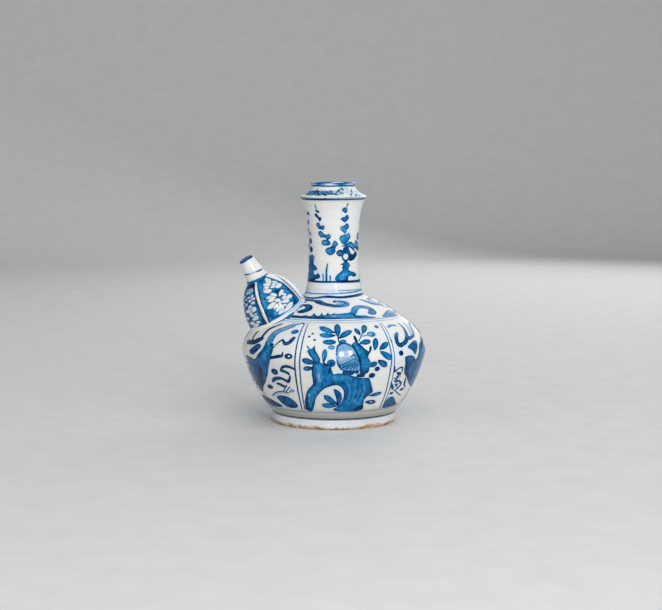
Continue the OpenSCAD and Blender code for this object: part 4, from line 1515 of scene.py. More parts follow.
@dataclass(frozen=True)
class CobaltGlaze:
    """Clear glaze over cobalt: cool white to cream paste, pooled blues, iron specks and a soft gloss."""

    name: str
    cool: Colour = srgb(227, 233, 238)
    cream: Colour = srgb(237, 231, 220)
    foot_shade_and_pool: Colour = srgb(172, 167, 156)
    speck: Colour = srgb(96, 66, 40)
    blues: tuple[tuple[float, Colour], ...] = (
        (0.0, srgb(255, 255, 255)),
        (0.12, srgb(214, 230, 246)),
        (0.30, srgb(150, 190, 234)),
        (0.48, srgb(58, 152, 212)),
        (0.62, srgb(0, 130, 196)),
        (0.75, srgb(0, 94, 158)),
        (0.88, srgb(0, 56, 108)),
        (1.0, srgb(0, 30, 72)),
    )
    soft_mm: float = 0.28
    outline_mm: float = 0.5
    ragged_mm: float = 0.22
    bump_mm: float = 0.1
    speck_rarity: float = 0.86
    speck_share: float = 0.7
    cloud_scale: float = 26.0
    speck_scale: float = 130.0
    ragged_scale: float = 900.0
    streak_scale: float = 520.0
    linger_scale: float = 75.0
    heap_scale: float = 170.0
    gloss_scale: float = 60.0
    skin_scale: float = 240.0

    def share(self, shader: Shader, reach: Socket, grow: float = 0.0) -> Socket:
        """How far a spot is under a mark, from 0 to 1, with the mark grown by some millimetres."""
        return shader.remap(reach, self.soft_mm + grow, -self.soft_mm + grow, 0.0, 1.0, True)

    def paste(self, shader: Shader, place: Socket) -> Socket:
        """White of the glazed paste: warm and cool clouds, grey painted shade near the foot, a few iron
        specks.

        Args:
            shader: material that is being made.
            place: object coordinates.

        Returns:
            The colour's socket.
        """
        cloud = shader.remap(shader.noise(self.cloud_scale, 4.0, place, 0.6), 0.36, 0.66, 0.0, 1.0)
        white = shader.mix(cloud, self.cool, self.cream)
        height = shader.add("ShaderNodeSeparateXYZ", {0: place}).outputs["Z"]
        # Greyer towards the foot: painted shade under the wall that faces down there, with some grey of
        # pooled glaze.
        white = shader.mix(shader.remap(height, 0.0086, 0.022, 1.0, 0.0, True), white, self.foot_shade_and_pool)
        cells = shader.add("ShaderNodeTexVoronoi", {"Vector": place, "Scale": self.speck_scale})
        dot = shader.remap(cells.outputs["Distance"], 0.045, 0.075, 1.0, 0.0)
        chance = shader.add("ShaderNodeSeparateColor", {0: cells.outputs["Color"]}).outputs[0]
        rare = shader.math("GREATER_THAN", chance, self.speck_rarity)
        speckled = shader.math("MULTIPLY", shader.math("MULTIPLY", dot, rare), self.speck_share)
        return shader.mix(speckled, white, self.speck)

    def density(self, shader: Shader, place: Socket, heaped: Socket) -> Socket:
        """Strength of the cobalt, from none to the darkest line.

        Args:
            shader: material that is being made.
            place: object coordinates.
            heaped: slow noise of the brush's load.

        Returns:
            The strength's socket: the tone of the wash, darker where it pooled at the edge and uneven
            from the brush, under the dark lines, and spared where the petals stay white.
        """
        read = {ink: shader.attribute(ink.value) for ink in Ink}
        edge = shader.noise(self.ragged_scale, 2.0, place)
        ragged = shader.remap(edge, 0.0, 1.0, -self.ragged_mm, self.ragged_mm)
        reach = {ink: shader.math("ADD", read[ink], ragged) for ink in (Ink.WASH, Ink.LINE, Ink.SPARE)}
        drawn = shader.add("ShaderNodeMapping", {"Vector": place, "Scale": (1.0, 1.0, 0.3)}).outputs[0]
        streak = shader.remap(shader.noise(self.streak_scale, 3.0, drawn, 0.55), 0.3, 0.7, -0.15, 0.15)
        uneven = shader.math("ADD", shader.remap(heaped, 0.3, 0.7, -0.17, 0.17), streak)
        tone = read[Ink.TONE]
        linger = shader.remap(shader.noise(self.linger_scale, 2.0, place), 0.35, 0.65, 0.6, 2.1)
        pooled = shader.math("MULTIPLY", shader.math("SUBTRACT", 1.0, tone), linger)
        pooled = shader.math("MULTIPLY", pooled, shader.remap(read[Ink.WASH], -1.3, -0.1, 0.0, 1.0, True))
        swing = shader.math("MULTIPLY", tone, shader.math("ADD", pooled, uneven))
        strength = shader.math("ADD", shader.math("ADD", tone, swing), read[Ink.SHADE], True)
        kept = shader.math("SUBTRACT", 1.0, self.share(shader, reach[Ink.SPARE]))
        washed = shader.math("MULTIPLY", self.share(shader, reach[Ink.WASH]), kept)
        rim = self.share(shader, reach[Ink.SPARE], self.outline_mm)
        outline = shader.math("MULTIPLY", shader.math("MULTIPLY", rim, washed), 0.9)
        lines = shader.math("MULTIPLY", self.share(shader, reach[Ink.LINE]), kept)
        lines = shader.math("MULTIPLY", lines, shader.remap(uneven, -0.2, 0.2, 0.78, 1.0))
        halo = shader.remap(read[Ink.WASH], 0.2, 2.4, 0.05, 0.0)
        blue = shader.math("MAXIMUM", shader.math("MULTIPLY", washed, strength), halo)
        return shader.math("MAXIMUM", blue, shader.math("MAXIMUM", lines, outline))

    def make(self) -> Material:
        """Builds the material.

        Returns:
            The material.
        """
        shader = Shader(self.name)
        place = shader.place()
        heaped = shader.noise(self.heap_scale, 5.0, place, 0.62)
        blue = shader.ramp(self.density(shader, place, heaped), self.blues)
        colour = shader.mix(1.0, self.paste(shader, place), blue, "MULTIPLY")
        gloss = shader.remap(shader.noise(self.gloss_scale, 4.0, place), 0.3, 0.7, 0.07, 0.12)
        skin = shader.noise(self.skin_scale, 1.0, place)
        return shader.close(colour, gloss, skin, self.bump_mm, IOR=1.4, Specular_IOR_Level=0.3)


@dataclass(frozen=True)
class InsideSlip:
    """Unpainted slip inside the seam: pale paste with sponge marks and a dull gloss."""

    name: str
    pale: Colour = srgb(226, 222, 212)
    grey: Colour = srgb(202, 198, 188)

    def make(self) -> Material:
        """Builds the material.

        Returns:
            The material.
        """
        shader = Shader(self.name)
        place = shader.place()
        wiped = shader.noise(90.0, 4.0, place, 0.6)
        colour = shader.mix(shader.remap(wiped, 0.35, 0.65, 0.0, 1.0), self.pale, self.grey)
        roughness = shader.remap(wiped, 0.3, 0.7, 0.3, 0.5)
        return shader.close(colour, roughness, shader.noise(420.0, 3.0, place), 0.2)


@dataclass(frozen=True)
class BareFoot:
    """Foot ring: glazed above, and below bare paste, burnt orange at the edge, chipped and gritty."""

    name: str
    glaze_cool: Colour = srgb(230, 236, 240)
    glaze_grey: Colour = srgb(208, 214, 218)
    paste_pale: Colour = srgb(222, 200, 172)
    paste_burnt: Colour = srgb(178, 122, 78)
    grit: Colour = srgb(84, 62, 46)
    line: Colour = srgb(16, 44, 82)
    edge_mm: float = 0.5
    line_soft_mm: float = 0.3
    ragged_mm: float = 1.1
    bump_mm: float = 0.3
    ragged_scale: float = 240.0
    fine_scale: float = 900.0
    cloud_scale: float = 60.0
    burn_scale: float = 110.0
    grain_scale: float = 1500.0

    def make(self) -> Material:
        """Builds the material.

        Returns:
            The material.
        """
        shader = Shader(self.name)
        place = shader.place()
        torn = shader.noise(self.ragged_scale, 4.0, place, 0.65)
        ragged = shader.remap(torn, 0.25, 0.75, -self.ragged_mm, self.ragged_mm)
        bare_mm = shader.math("ADD", shader.attribute(Foot.BARE), ragged)
        bare = shader.remap(bare_mm, self.edge_mm, -self.edge_mm, 0.0, 1.0, True)
        line_mm = shader.attribute(Ink.LINE.value)
        fine = shader.remap(shader.noise(self.fine_scale, 2.0, place), 0.0, 1.0, -0.2, 0.2)
        reach = shader.math("ADD", line_mm, fine)
        line = shader.remap(reach, self.line_soft_mm, -self.line_soft_mm, 0.0, 1.0, True)
        cloud = shader.remap(shader.noise(self.cloud_scale, 4.0, place, 0.6), 0.35, 0.7, 0.0, 1.0)
        inked = shader.math("MULTIPLY", line, 0.9)
        white = shader.mix(cloud, self.glaze_cool, self.glaze_grey)
        glaze = shader.mix(inked, white, self.line)
        burn = shader.remap(shader.noise(self.burn_scale, 5.0, place, 0.65), 0.38, 0.62, 0.0, 1.0)
        paste = shader.mix(burn, self.paste_pale, self.paste_burnt)
        grain = shader.noise(self.grain_scale, 3.0, place, 0.6)
        sand = shader.remap(grain, 0.60, 0.68, 0.0, 0.7)
        paste = shader.mix(sand, paste, self.grit)
        colour = shader.mix(bare, glaze, paste)
        gloss = shader.mix(bare, (0.2, 0.2, 0.2, 1.0), (0.86, 0.86, 0.86, 1.0))
        crumbs = shader.math("ADD", shader.math("MULTIPLY", grain, 1.6), ragged)
        rough = shader.math("MULTIPLY", crumbs, bare)
        skin = shader.math("ADD", rough, shader.math("MULTIPLY", shader.noise(320.0, 3.0, place), 0.2))
        return shader.close(colour, gloss, skin, self.bump_mm)


@dataclass(frozen=True)
class StudioFloor:
    """Pale matt floor with a very faint grain."""

    name: str
    light: Colour = srgb(222, 222, 221)
    dark: Colour = srgb(218, 218, 217)

    def make(self) -> Material:
        """Builds the material.

        Returns:
            The material.
        """
        shader = Shader(self.name)
        place = shader.place()
        grain = shader.noise(40.0, 5.0, place)
        colour = shader.mix(shader.remap(grain, 0.35, 0.65, 0.0, 1.0), self.light, self.dark)
        roughness = shader.remap(grain, 0.3, 0.7, 0.75, 0.9)
        return shader.close(colour, roughness, grain, 0.2)


def dress(piece: Piece, material: Material) -> None:
    """Gives a piece its material.

    Args:
        piece: the piece.
        material: its finish.
    """
    piece.data.materials.clear()
    piece.data.materials.append(material)


@dataclass
class Foot:
    """Foot ring with a rounded bare edge, chips and grit."""

    sizes: PotSizes
    hand: Hand
    wall: float = 7.0
    land: float = 3.0
    round_mm: float = 2.8
    columns: int = 480
    chip_mm: float = 0.9
    bare_top_mm: float = 2.6
    line_drop_mm: float = 0.35
    line_half_mm: float = 0.45
    notch_share: float = 1.4
    drip_mm: float = 0.9
    seed: int = 11

    BARE = "bare_paste"
    CHIP_WAVES = (7, 11, 17, 23, 37, 53)
    DENT_WAVES = (41, 67, 89, 113)
    DRIP_WAVES = (3, 5, 8, 13)
    NOTCHES = ((-29.0, 2.6), (-58.0, 2.0), (-45.0, 1.4), (21.0, 1.2), (96.0, 3.0), (171.0, 2.2))

    def lumps(self, angles: np.ndarray, waves: Sequence[int], seed: int) -> np.ndarray:
        """Uneven ring: a sum of sines with seeded phases, scaled to about one.

        Args:
            angles: angles in degrees.
            waves: waves round the ring.
            seed: seed of the phases.

        Returns:
            One value for each angle.
        """
        phases = np.random.default_rng(seed).uniform(0.0, 2.0 * np.pi, len(waves))
        turns = np.radians(angles)[:, None] * np.array(waves)[None, :] + phases
        return np.sin(turns).sum(axis=1) / math.sqrt(len(waves))

    def profile(self) -> np.ndarray:
        """Section of the ring, counter-clockwise from the inner edge of the land.

        Returns:
            Radius and height of each row.
        """
        top, outer = self.sizes.foot_h, self.sizes.foot_r
        inner = outer - self.wall
        land_in = inner + 0.5 * (self.wall - self.land)
        land_out = land_in + self.land
        handles = ((outer - 0.9, 0.2 * self.round_mm), (outer - 0.2, 0.5 * self.round_mm))
        edge = Meridian.through([(land_out, 0.0), *handles, (outer - 0.1, self.round_mm)])
        return np.vstack(
            [
                run_of((land_in, 0.0), (land_out, 0.0), 6),
                edge.at(np.linspace(0.0, edge.length, 14)),
                run_of((outer - 0.09, self.round_mm + 0.3), (outer, top), 20),
                run_of((outer, top), (inner, top), 4),
                run_of((inner, top), (inner, self.round_mm), 8),
                run_of((inner, self.round_mm), (land_in, 0.0), 8),
            ]
        )

    def build(self) -> Piece:
        """Builds the ring: the profile turned about the axis, with its bottom edge chipped upwards.

        Returns:
            The piece.
        """
        angles = round_angles(self.columns)
        profile = self.profile()
        points = lathe_points(profile, angles)
        low = smooth_step((self.round_mm + 0.6 - points[..., 2]) / self.round_mm)
        chips = np.clip(self.lumps(angles, self.CHIP_WAVES, self.seed) - 0.55, 0.0, 1.0)
        for middle, width in self.NOTCHES:
            chips += self.notch_share * np.exp(-(((angles - middle + 180.0) % 360.0 - 180.0) / width) ** 2)
        dents = 0.25 * self.lumps(angles, self.DENT_WAVES, self.seed + 1)
        outer = smooth_step((profile[:, 0] - (self.sizes.foot_r - 0.5 * self.wall)) / 2.0)[:, None]
        cut = self.chip_mm * (chips + np.clip(dents, 0.0, 1.0)) * low * outer
        radius = np.hypot(points[..., 0], points[..., 1])
        points[..., 2] += cut
        points[..., :2] *= ((radius - 0.8 * cut) / radius)[..., None]
        bare_edge = self.bare_top_mm + self.drip_mm * self.lumps(angles, self.DRIP_WAVES, self.seed + 2)
        inside = (profile[:, 0] < self.sizes.foot_r - 0.8 * self.wall)[:, None]
        bare = np.where(inside, -FAR_MM, points[..., 2] - np.maximum(bare_edge, self.drip_mm))
        ring_z = self.sizes.foot_h - self.line_drop_mm
        line = np.abs(points[..., 2] - ring_z) - self.line_half_mm + np.where(inside, FAR_MM, 0.0)
        layers = {self.BARE: bare, Ink.LINE.value: line}
        held = {name: np.clip(values, -FAR_MM, FAR_MM) for name, values in layers.items()}
        return make_piece("foot_ring", [Skin(points, held)], self.hand)

    def dress(self, piece: Piece) -> None:
        """Gives the ring its bare and glazed finish."""
        dress(piece, BareFoot("biscuit_and_glaze").make())


@dataclass
class Body:
    """Lower and upper half of the body, luted at the girth, with the six painted panels."""

    sizes: PotSizes
    hand: Hand
    foot_wall: float = 7.0
    recess: float = 5.6
    floor_z: float = 11.0
    plug_gap: float = 0.4
    pole_r: float = 6.0
    columns: int = 680
    lower_rows: int = 118
    upper_rows: int = 130
    inner_rows: int = 14

    def whole_wall(self) -> Meridian:
        """Outside from the foot joint to the seat of the neck, which the painting is measured on."""
        return Meridian(np.vstack([self.sizes.lower_wall().points, self.sizes.upper_wall().points]))

    def paintings(self) -> tuple[Painting, ...]:
        """Paintings of panels and shoulder, measured along the whole wall."""
        break_s = float(self.whole_wall().length_at_height(np.array(self.sizes.break_z)))
        return PanelArt.paintings(break_s) + ShoulderArt.paintings()

    def build_lower(self) -> Piece:
        """Builds the lower half: outside wall, level rim, parallel inside, floor and recess.

        Returns:
            The piece.
        """
        wall = self.sizes.lower_wall()
        along = np.linspace(0.0, wall.length, self.lower_rows)
        inside = wall.at(np.linspace(wall.length, 0.0, self.inner_rows), -self.sizes.wall)
        inside[0] = (self.sizes.belly_r - self.sizes.wall, self.sizes.belly_z)
        inside = inside[inside[:, 1] > self.floor_z + 1.0]
        plug, foot_h = self.sizes.foot_r - self.foot_wall - self.plug_gap, self.sizes.foot_h
        under = np.vstack(
            [
                run_of((self.pole_r, self.recess), (plug, self.recess), 5),
                run_of((plug, self.recess), (plug, foot_h), 2),
                run_of((plug, foot_h), (self.sizes.foot_r, foot_h), 2),
            ]
        )
        floor = run_of((inside[-1, 0] - 1.5, self.floor_z), (0.0, self.floor_z), 4)
        rows = (under, wall.at(along), np.vstack([inside, floor]))
        skin = turned_skin(rows, along, self.columns, self.paintings(), self.whole_wall())
        skin.wrap_rows = False
        skin.first_pole = np.array([0.0, 0.0, self.recess])
        skin.last_pole = np.array([0.0, 0.0, self.floor_z])
        return make_piece("lower_body", [skin], self.hand)

    def build_upper(self) -> Piece:
        """Builds the upper half: outside wall and shoulder, seat of the neck, throat and inside.

        Returns:
            The piece.
        """
        wall = self.sizes.upper_wall()
        along = np.linspace(0.0, wall.length, self.upper_rows)
        inside = wall.at(np.linspace(wall.length, 0.0, self.inner_rows), -self.sizes.wall)
        inside[-1] = (self.sizes.belly_r - self.sizes.wall, self.sizes.belly_z)
        throat = np.array([(self.sizes.bore_r, self.sizes.seat_z), (self.sizes.bore_r, inside[0, 1])])
        rows = (NO_ROWS, wall.at(along), np.vstack([throat, inside]))
        from_foot = along + self.sizes.lower_wall().length
        skin = turned_skin(rows, from_foot, self.columns, self.paintings(), self.whole_wall())
        return make_piece("upper_body", [skin], self.hand)

    def dress(self, pieces: Sequence[Piece], glaze: Material) -> None:
        """Gives both halves the painted glaze."""
        for piece in pieces:
            dress(piece, glaze)


@dataclass
class Neck:
    """Tall neck with its waist and flare, and the slip fillet that seats it."""

    sizes: PotSizes
    hand: Hand
    columns: int = 400
    rows: int = 180
    fillet_columns: int = 480
    fillet_rows: int = 24

    def build(self) -> Piece:
        """Builds the neck: the outside wall, its top, the straight channel and the seat.

        Returns:
            The piece.
        """
        sizes = self.sizes
        wall = sizes.neck_wall()
        along = np.linspace(0.0, wall.length, self.rows)
        below = run_of((sizes.neck_base_r, sizes.seat_z), (sizes.neck_base_r, sizes.neck_foot_z), 2)
        channel = run_of((sizes.bore_r, sizes.flange_z), (sizes.bore_r, sizes.seat_z - 4.0), 7)
        channel[-1, 1] = sizes.seat_z
        rows = (below, wall.at(along), channel)
        skin = turned_skin(rows, along, self.columns, NeckArt.paintings(wall.length), wall)
        return make_piece("neck", [skin], self.hand)

    def build_fillet(self) -> Piece:
        """Builds the fillet: a hollow curve from shoulder to neck, closed behind and below.

        Returns:
            The piece.
        """
        curve = self.sizes.fillet()
        along = np.linspace(0.0, curve.length, self.fillet_rows)
        corner = np.array([(self.sizes.neck_base_r, self.sizes.seat_z)])
        rows = (NO_ROWS, curve.at(along), corner)
        rings = [Painting(NeckArt.FILLET_RINGS)]
        skin = turned_skin(rows, along, self.fillet_columns, rings, curve)
        return make_piece("neck_lute", [skin], self.hand)

    def dress(self, neck: Piece, fillet: Piece, glaze: Material) -> None:
        """Gives neck and fillet the painted glaze."""
        dress(neck, glaze)
        dress(fillet, glaze)


@dataclass
class Mouth:
    """Sharp-edged flange that slopes up to the rounded lip."""

    sizes: PotSizes
    hand: Hand
    edge_t: float = 1.4
    groove_r: float = 17.3
    bead_r: float = 1.4
    columns: int = 420
    flange_rows: int = 40
    lip_columns: int = 240
    wash_in_mm: float = 1.2
    wash_up_mm: float = 0.6
    glint_top_mm: float = 2.4
    line_up_mm: float = 1.1
    line_half_mm: float = 0.45

    def build_flange(self) -> Piece:
        """Builds the flange: rounded edge, hollow slope to the groove, channel and underside.

        Returns:
            The piece.
        """
        sizes, low, high = self.sizes, self.sizes.flange_z, self.sizes.lip_z
        rim = (sizes.flange_r - 0.4, low + self.edge_t)
        groove = (self.groove_r, high)
        under = np.array([(sizes.bore_r, low), (sizes.neck_top_r, low)])
        round_edge = ((sizes.flange_r, low + 0.3), (sizes.flange_r + 0.1, low + 1.1))
        edge = Meridian.through(
            [(sizes.neck_top_r, low), *round_edge, rim],
            [rim, between(rim, groove, 0.52, 0.33), between(rim, groove, 0.92, 0.58), groove],
        )
        along = np.linspace(0.05, edge.length, self.flange_rows)
        rim_s = float(np.interp(rim[1], edge.points[:, 1], edge.lengths))
        slope = Meridian(edge.points[edge.lengths >= rim_s])
        rows = (under, edge.at(along), np.array([(sizes.bore_r, high)]))
        skin = turned_skin(rows, along - rim_s, self.columns, MouthArt.paintings(), slope)
        return make_piece("mouth_flange", [skin], self.hand)

    def build_lip(self) -> Piece:
        """Builds the lip: a round bead on a short wall, blue outside with a painted glint along it.

        Returns:
            The piece.
        """
        bead = (self.sizes.bore_r + self.bead_r, self.sizes.top_z - self.bead_r)
        turn = np.radians(np.linspace(-40.0, 180.0, 22))
        arc = np.column_stack([bead[0] + self.bead_r * np.cos(turn), bead[1] + self.bead_r * np.sin(turn)])
        outside = run_of((self.groove_r, self.sizes.lip_z), tuple(arc[0]), 5)
        profile = np.vstack([outside, arc, [(self.sizes.bore_r, self.sizes.lip_z)]])
        angles = round_angles(self.lip_columns)
        points = lathe_points(profile, angles)
        sway = 0.35 * np.sin(np.radians(3.0 * angles)) + 0.2 * np.cos(np.radians(7.0 * angles))
        inward = bead[0] - self.wash_in_mm - np.hypot(points[..., 0], points[..., 1]) + sway
        above = points[..., 2] - self.sizes.lip_z
        line = np.abs(above - self.line_up_mm - 0.2 * sway) - self.line_half_mm
        layers = bare_layers(points.shape[:2])
        layers[Ink.WASH] = np.clip(np.maximum(inward, self.wash_up_mm - above), -FAR_MM, FAR_MM)
        # Tone of the wash: pale along the middle of the bead and in six waves round it, a painted glint;
        # darker over the top of the bead.
        layers[Ink.TONE] += PALE.value[1] + 0.22 * np.cos(np.radians(6.0 * angles - 72.0)) + 0.2 * sway
        layers[Ink.TONE] += 0.4 * smooth_step((above - self.glint_top_mm) / 0.8)
        layers[Ink.LINE] = np.clip(line, -FAR_MM, FAR_MM)
        return make_piece("lip_ring", [Skin(points, named(layers))], self.hand)

    def dress(self, pieces: Sequence[Piece], glaze: Material) -> None:
        """Gives flange and lip the painted glaze."""
        for piece in pieces:
            dress(piece, glaze)


@dataclass
class Spout:
    """Ribbed bulb on the shoulder with its collar and nozzle, and the bead of slip round its foot."""

    sizes: PotSizes
    tilt_deg: float = 30.0
    seat_r: float = 46.8
    length: float = 48.4
    tip_r: float = 5.7
    tip_round: float = 0.9
    nozzle_r: float = 8.3
    nozzle_l: float = 16.6
    collar_r: float = 9.3
    collar_h: float = 2.6
    bulb_r: float = 24.6
    bulb_l: float = 27.8
    bulb_wall: float = 3.4
    bore_r: float = 3.0
    rib_angles: tuple[float, ...] = (119.0, 29.0, -61.0, -151.0)
    rib_half_deg: float = 3.5
    rib_t: float = 0.8
    lute_h: float = 2.0
    lute_w: float = 1.8
    lute_taper_deg: float = 14.0
    lute_end: float = 0.15
    lute_bow: float = 0.62
    lute_columns: int = 260
    nozzle_columns: int = 200
    rib_rows: int = 60
    bulb_columns: int = 420
    bulb_rows: int = 110
    skirt_rows: int = 34
    skirt_from: float = 32.0
    inner_rows: int = 12
    pot: Meridian = field(init=False)
    skin: Meridian = field(init=False)

    HALVINGS = 40
    SETTLINGS = 12

    def __post_init__(self) -> None:
        """Works out the pot's outside and the bulb's outside, from the collar down into the shoulder."""
        self.pot = self.sizes.outside()
        top = (self.collar_r, -(self.nozzle_l + self.collar_h))
        wide = (self.bulb_r, top[1] - self.bulb_l)
        root = (self.bulb_r + 1.0, -self.length - self.bulb_r)
        third = (between(wide, root, 0.33, 0.33), between(wide, root, 0.67, 0.67))
        self.skin = Meridian.through(
            [top, between(top, wide, 0.475, 0.18), between(top, wide, 0.87, 0.46), wide],
            [wide, third[0], third[1], root],
            runs_down=True,
        )

    @property
    def tip(self) -> np.ndarray:
        """Point at the middle of the tip."""
        tilt = math.radians(self.tilt_deg)
        shoulder = self.sizes.upper_wall()
        order = np.argsort(shoulder.points[:, 0])
        seat_z = float(np.interp(self.seat_r, shoulder.points[order, 0], shoulder.points[order, 1]))
        return np.array(
            [-(self.seat_r + self.length * math.sin(tilt)), 0.0, seat_z + self.length * math.cos(tilt)]
        )

    def place(self, section: np.ndarray, angles: np.ndarray) -> np.ndarray:
        """Points of the spout: the tip, plus height along its axis, plus radius about it.

        Args:
            section: radius and height of each point, height nought at the tip.
            angles: angle of each point in degrees, from the neck's side towards the front.

        Returns:
            Points in the pot's frame.
        """
        tilt, turn = math.radians(self.tilt_deg), np.radians(angles)
        axis = np.array([-math.sin(tilt), 0.0, math.cos(tilt)])
        inward = np.array([math.cos(tilt), 0.0, math.sin(tilt)])
        radius, height = section[..., 0], section[..., 1]
        return (
            self.tip
            + height[..., None] * axis
            + (radius * np.cos(turn))[..., None] * inward
            + (radius * np.sin(turn))[..., None] * np.array([0.0, -1.0, 0.0])
        )

    def turned(self, section: np.ndarray, angles: np.ndarray) -> np.ndarray:
        """Points of one section at every angle about the spout's axis, rows by columns."""
        grid = np.broadcast_to(angles, (len(section), len(angles)))
        return self.place(np.repeat(section[:, None, :], len(angles), axis=1), grid)

    def landing(self, angles: np.ndarray, proud: float, lift: float = 0.0) -> np.ndarray:
        """Length down the bulb's skin at which it meets the pot, found by halving.

        Args:
            angles: angles about the spout's axis in degrees.
            proud: how far outside the bulb's skin.
            lift: how far outside the pot's skin.

        Returns:
            One length for each angle.
        """
        above = np.zeros(angles.shape)
        below = np.full(angles.shape, self.skin.length)
        for _ in range(self.HALVINGS):
            middle = 0.5 * (above + below)
            spot = self.place(self.skin.at(middle, proud), angles)
            radius = np.hypot(spot[..., 0], spot[..., 1]) - lift
            outside = radius > self.pot.radius_at_height(spot[..., 2] - lift)
            above = np.where(outside, middle, above)
            below = np.where(outside, below, middle)
        return 0.5 * (above + below)

    def build_bulb(self) -> Piece:
        """Builds the bulb: its outside to where it meets the pot, the wall's foot, and the hollow inside.

        Returns:
            The piece.
        """
        angles = round_angles(self.bulb_columns)
        share = np.linspace(0.0, 1.0, self.skirt_rows + 1)[1:, None]
        foot = self.landing(angles, 0.0)
        fixed = np.linspace(0.0, self.skirt_from, self.bulb_rows)[:, None] + 0.0 * angles
        skirt = self.skirt_from + share * (foot - self.skirt_from)
        along = np.vstack([fixed, skirt])
        grid_angles = np.broadcast_to(angles, along.shape)
        outside = self.place(self.skin.at(along), grid_angles)
        inner_foot = self.landing(angles, -self.bulb_wall)
        inner_along = np.linspace(1.0, 0.05, self.inner_rows)[:, None] * inner_foot
        inner_angles = np.broadcast_to(angles, inner_along.shape)
        inside = self.place(self.skin.at(inner_along, -self.bulb_wall), inner_angles)
        throat_z = float(self.skin.at(np.array([0.0]), -self.bulb_wall)[0, 1])
        bore = np.array([(self.bore_r, throat_z), (self.bore_r, self.skin.points[0, 1])])
        inks = painted(SpoutArt.bulb(self.rib_angles), grid_angles, along, self.skin)
        layers = named(inks, 0, self.inner_rows + len(bore))
        points = np.concatenate([outside, inside, self.turned(bore, angles)])
        return make_piece("spout_bulb", [Skin(points, layers)], None)

    def build_nozzle(self) -> Piece:
        """Builds the nozzle: collar, straight taper, rounded tip and bore.

        Returns:
            The piece.
        """
        foot = -(self.nozzle_l + self.collar_h)
        edge = (self.collar_r - 0.1, -self.nozzle_l - 1.0)
        step = (self.collar_r - 0.35, -self.nozzle_l - 0.35)
        root = (self.nozzle_r, -self.nozzle_l)
        turn = np.linspace(0.0, 0.5 * np.pi, 8)
        tip = np.column_stack(
            [self.tip_r - self.tip_round * (1.0 - np.cos(turn)), -self.tip_round * (1.0 - np.sin(turn))]
        )
        outside = np.vstack(
            [
                run_of((self.collar_r, foot), edge, 6),
                run_of(edge, step, 3),
                run_of(step, root, 3),
                run_of(root, (self.tip_r, -self.tip_round), 46),
                tip,
                [(self.bore_r, 0.0)],
            ]
        )
        bore = np.array([(self.bore_r, -8.0), (self.bore_r, foot)])
        angles = round_angles(self.nozzle_columns)
        points = self.turned(np.vstack([outside, bore]), angles)
        grid_angles, down = np.meshgrid(angles, -outside[:, 1])
        curve = Meridian(outside[::-1] * np.array([1.0, -1.0]))
        inks = painted([Painting(SpoutArt.NOZZLE)], grid_angles, down, curve)
        layers = named(inks, 0, len(bore))
        return make_piece("spout_nozzle", [Skin(points, layers, flip=True)], None)

    def build_ribs(self) -> Piece:
        """Builds the ribs: low rounded ridges down the bulb, which run out at both ends.

        Returns:
            The piece, whose section is a parabola across the rib over a flat back.
        """
        across = np.concatenate([np.linspace(-1.0, 1.0, 13), np.linspace(0.6, -0.6, 4)])
        crown = np.concatenate([np.ones(13), np.zeros(4)])
        paintings = SpoutArt.bulb(self.rib_angles)
        skins = []
        for middle in self.rib_angles:
            foot = float(self.landing(np.array([middle]), 0.0, self.lute_h)[0])
            along = np.linspace(0.6, foot, self.rib_rows)[:, None]
            ease = smooth_step((along - 0.6) / 6.0) * smooth_step((foot - along) / 1.5 + 0.35)
            proud = self.rib_t * crown * (1.0 - across**2) * ease - 0.02
            width = self.rib_half_deg * (1.0 + 0.5 * np.exp(-along / 8.0))
            angles = middle + across * width
            section = self.skin.at(along + 0.0 * across, proud)
            points = self.place(section, angles)
            ends = (points[0].mean(axis=0), points[-1].mean(axis=0))
            inks = painted(paintings, angles, along + 0.0 * across, self.skin)
            skins.append(
                Skin(points, named(inks), wrap_rows=False, first_pole=ends[0], last_pole=ends[1])
            )
        return make_piece("spout_ribs", skins, None)

    def build_lute(self) -> Piece:
        """Builds the bead: a lumpy fillet between bulb and shoulder, open on the neck's side.

        Returns:
            The piece, whose section bows from a point up the bulb to a point out on the shoulder.
        """
        scan = np.linspace(0.0, 180.0, 721)
        spots = self.place(self.skin.at(self.landing(scan, self.lute_w)), scan)
        first = float(scan[np.argmax(np.hypot(spots[:, 0], spots[:, 1]) > self.sizes.seat_r + 0.4)])
        last = 360.0 - first
        angles = np.linspace(first, last, self.lute_columns)
        start = smooth_step((angles - first) / self.lute_taper_deg + self.lute_end)
        taper = start * smooth_step((last - angles) / self.lute_taper_deg + self.lute_end)
        broad = 0.14 * np.sin(np.radians(angles * 5.0))
        fine = 0.1 * np.sin(np.radians(angles * 11.0 + 50.0))
        size = taper * np.clip(1.0 + broad + fine, 0.75, 1.15)
        corner_along = self.landing(angles, 0.0)
        corner = self.place(self.skin.at(corner_along), angles)
        upper = self.place(self.skin.at(corner_along - self.lute_h * size), angles)
        steps = []
        for share in (1.0, 0.6, 0.3):
            proud = self.lute_w * size * share
            along = corner_along
            for _ in range(self.SETTLINGS):
                spot = self.place(self.skin.at(along, proud), angles)
                gap = np.hypot(spot[:, 0], spot[:, 1]) - self.pot.radius_at_height(spot[:, 2])
                along = along + 0.5 * gap
            steps.append(self.place(self.skin.at(along, proud), angles))
        outer = steps[0]
        bow = corner + self.lute_bow * (upper - corner) + self.lute_bow * (outer - corner)
        t = np.linspace(0.0, 1.0, 9)[None, :, None]
        face = (1 - t) ** 2 * upper[:, None] + 2 * t * (1 - t) * bow[:, None] + t * t * outer[:, None]
        back = np.stack([steps[1], steps[2], corner], axis=1)
        points = np.concatenate([face, back], axis=1)
        across = np.concatenate([np.linspace(0.0, 3.0, 9), np.full(3, FAR_MM + 3.0)])
        grid_across, grid_angles = np.meshgrid(across, angles)
        round_it = Meridian(np.array([(self.bulb_r, 0.0), (self.bulb_r, 3.0)]))
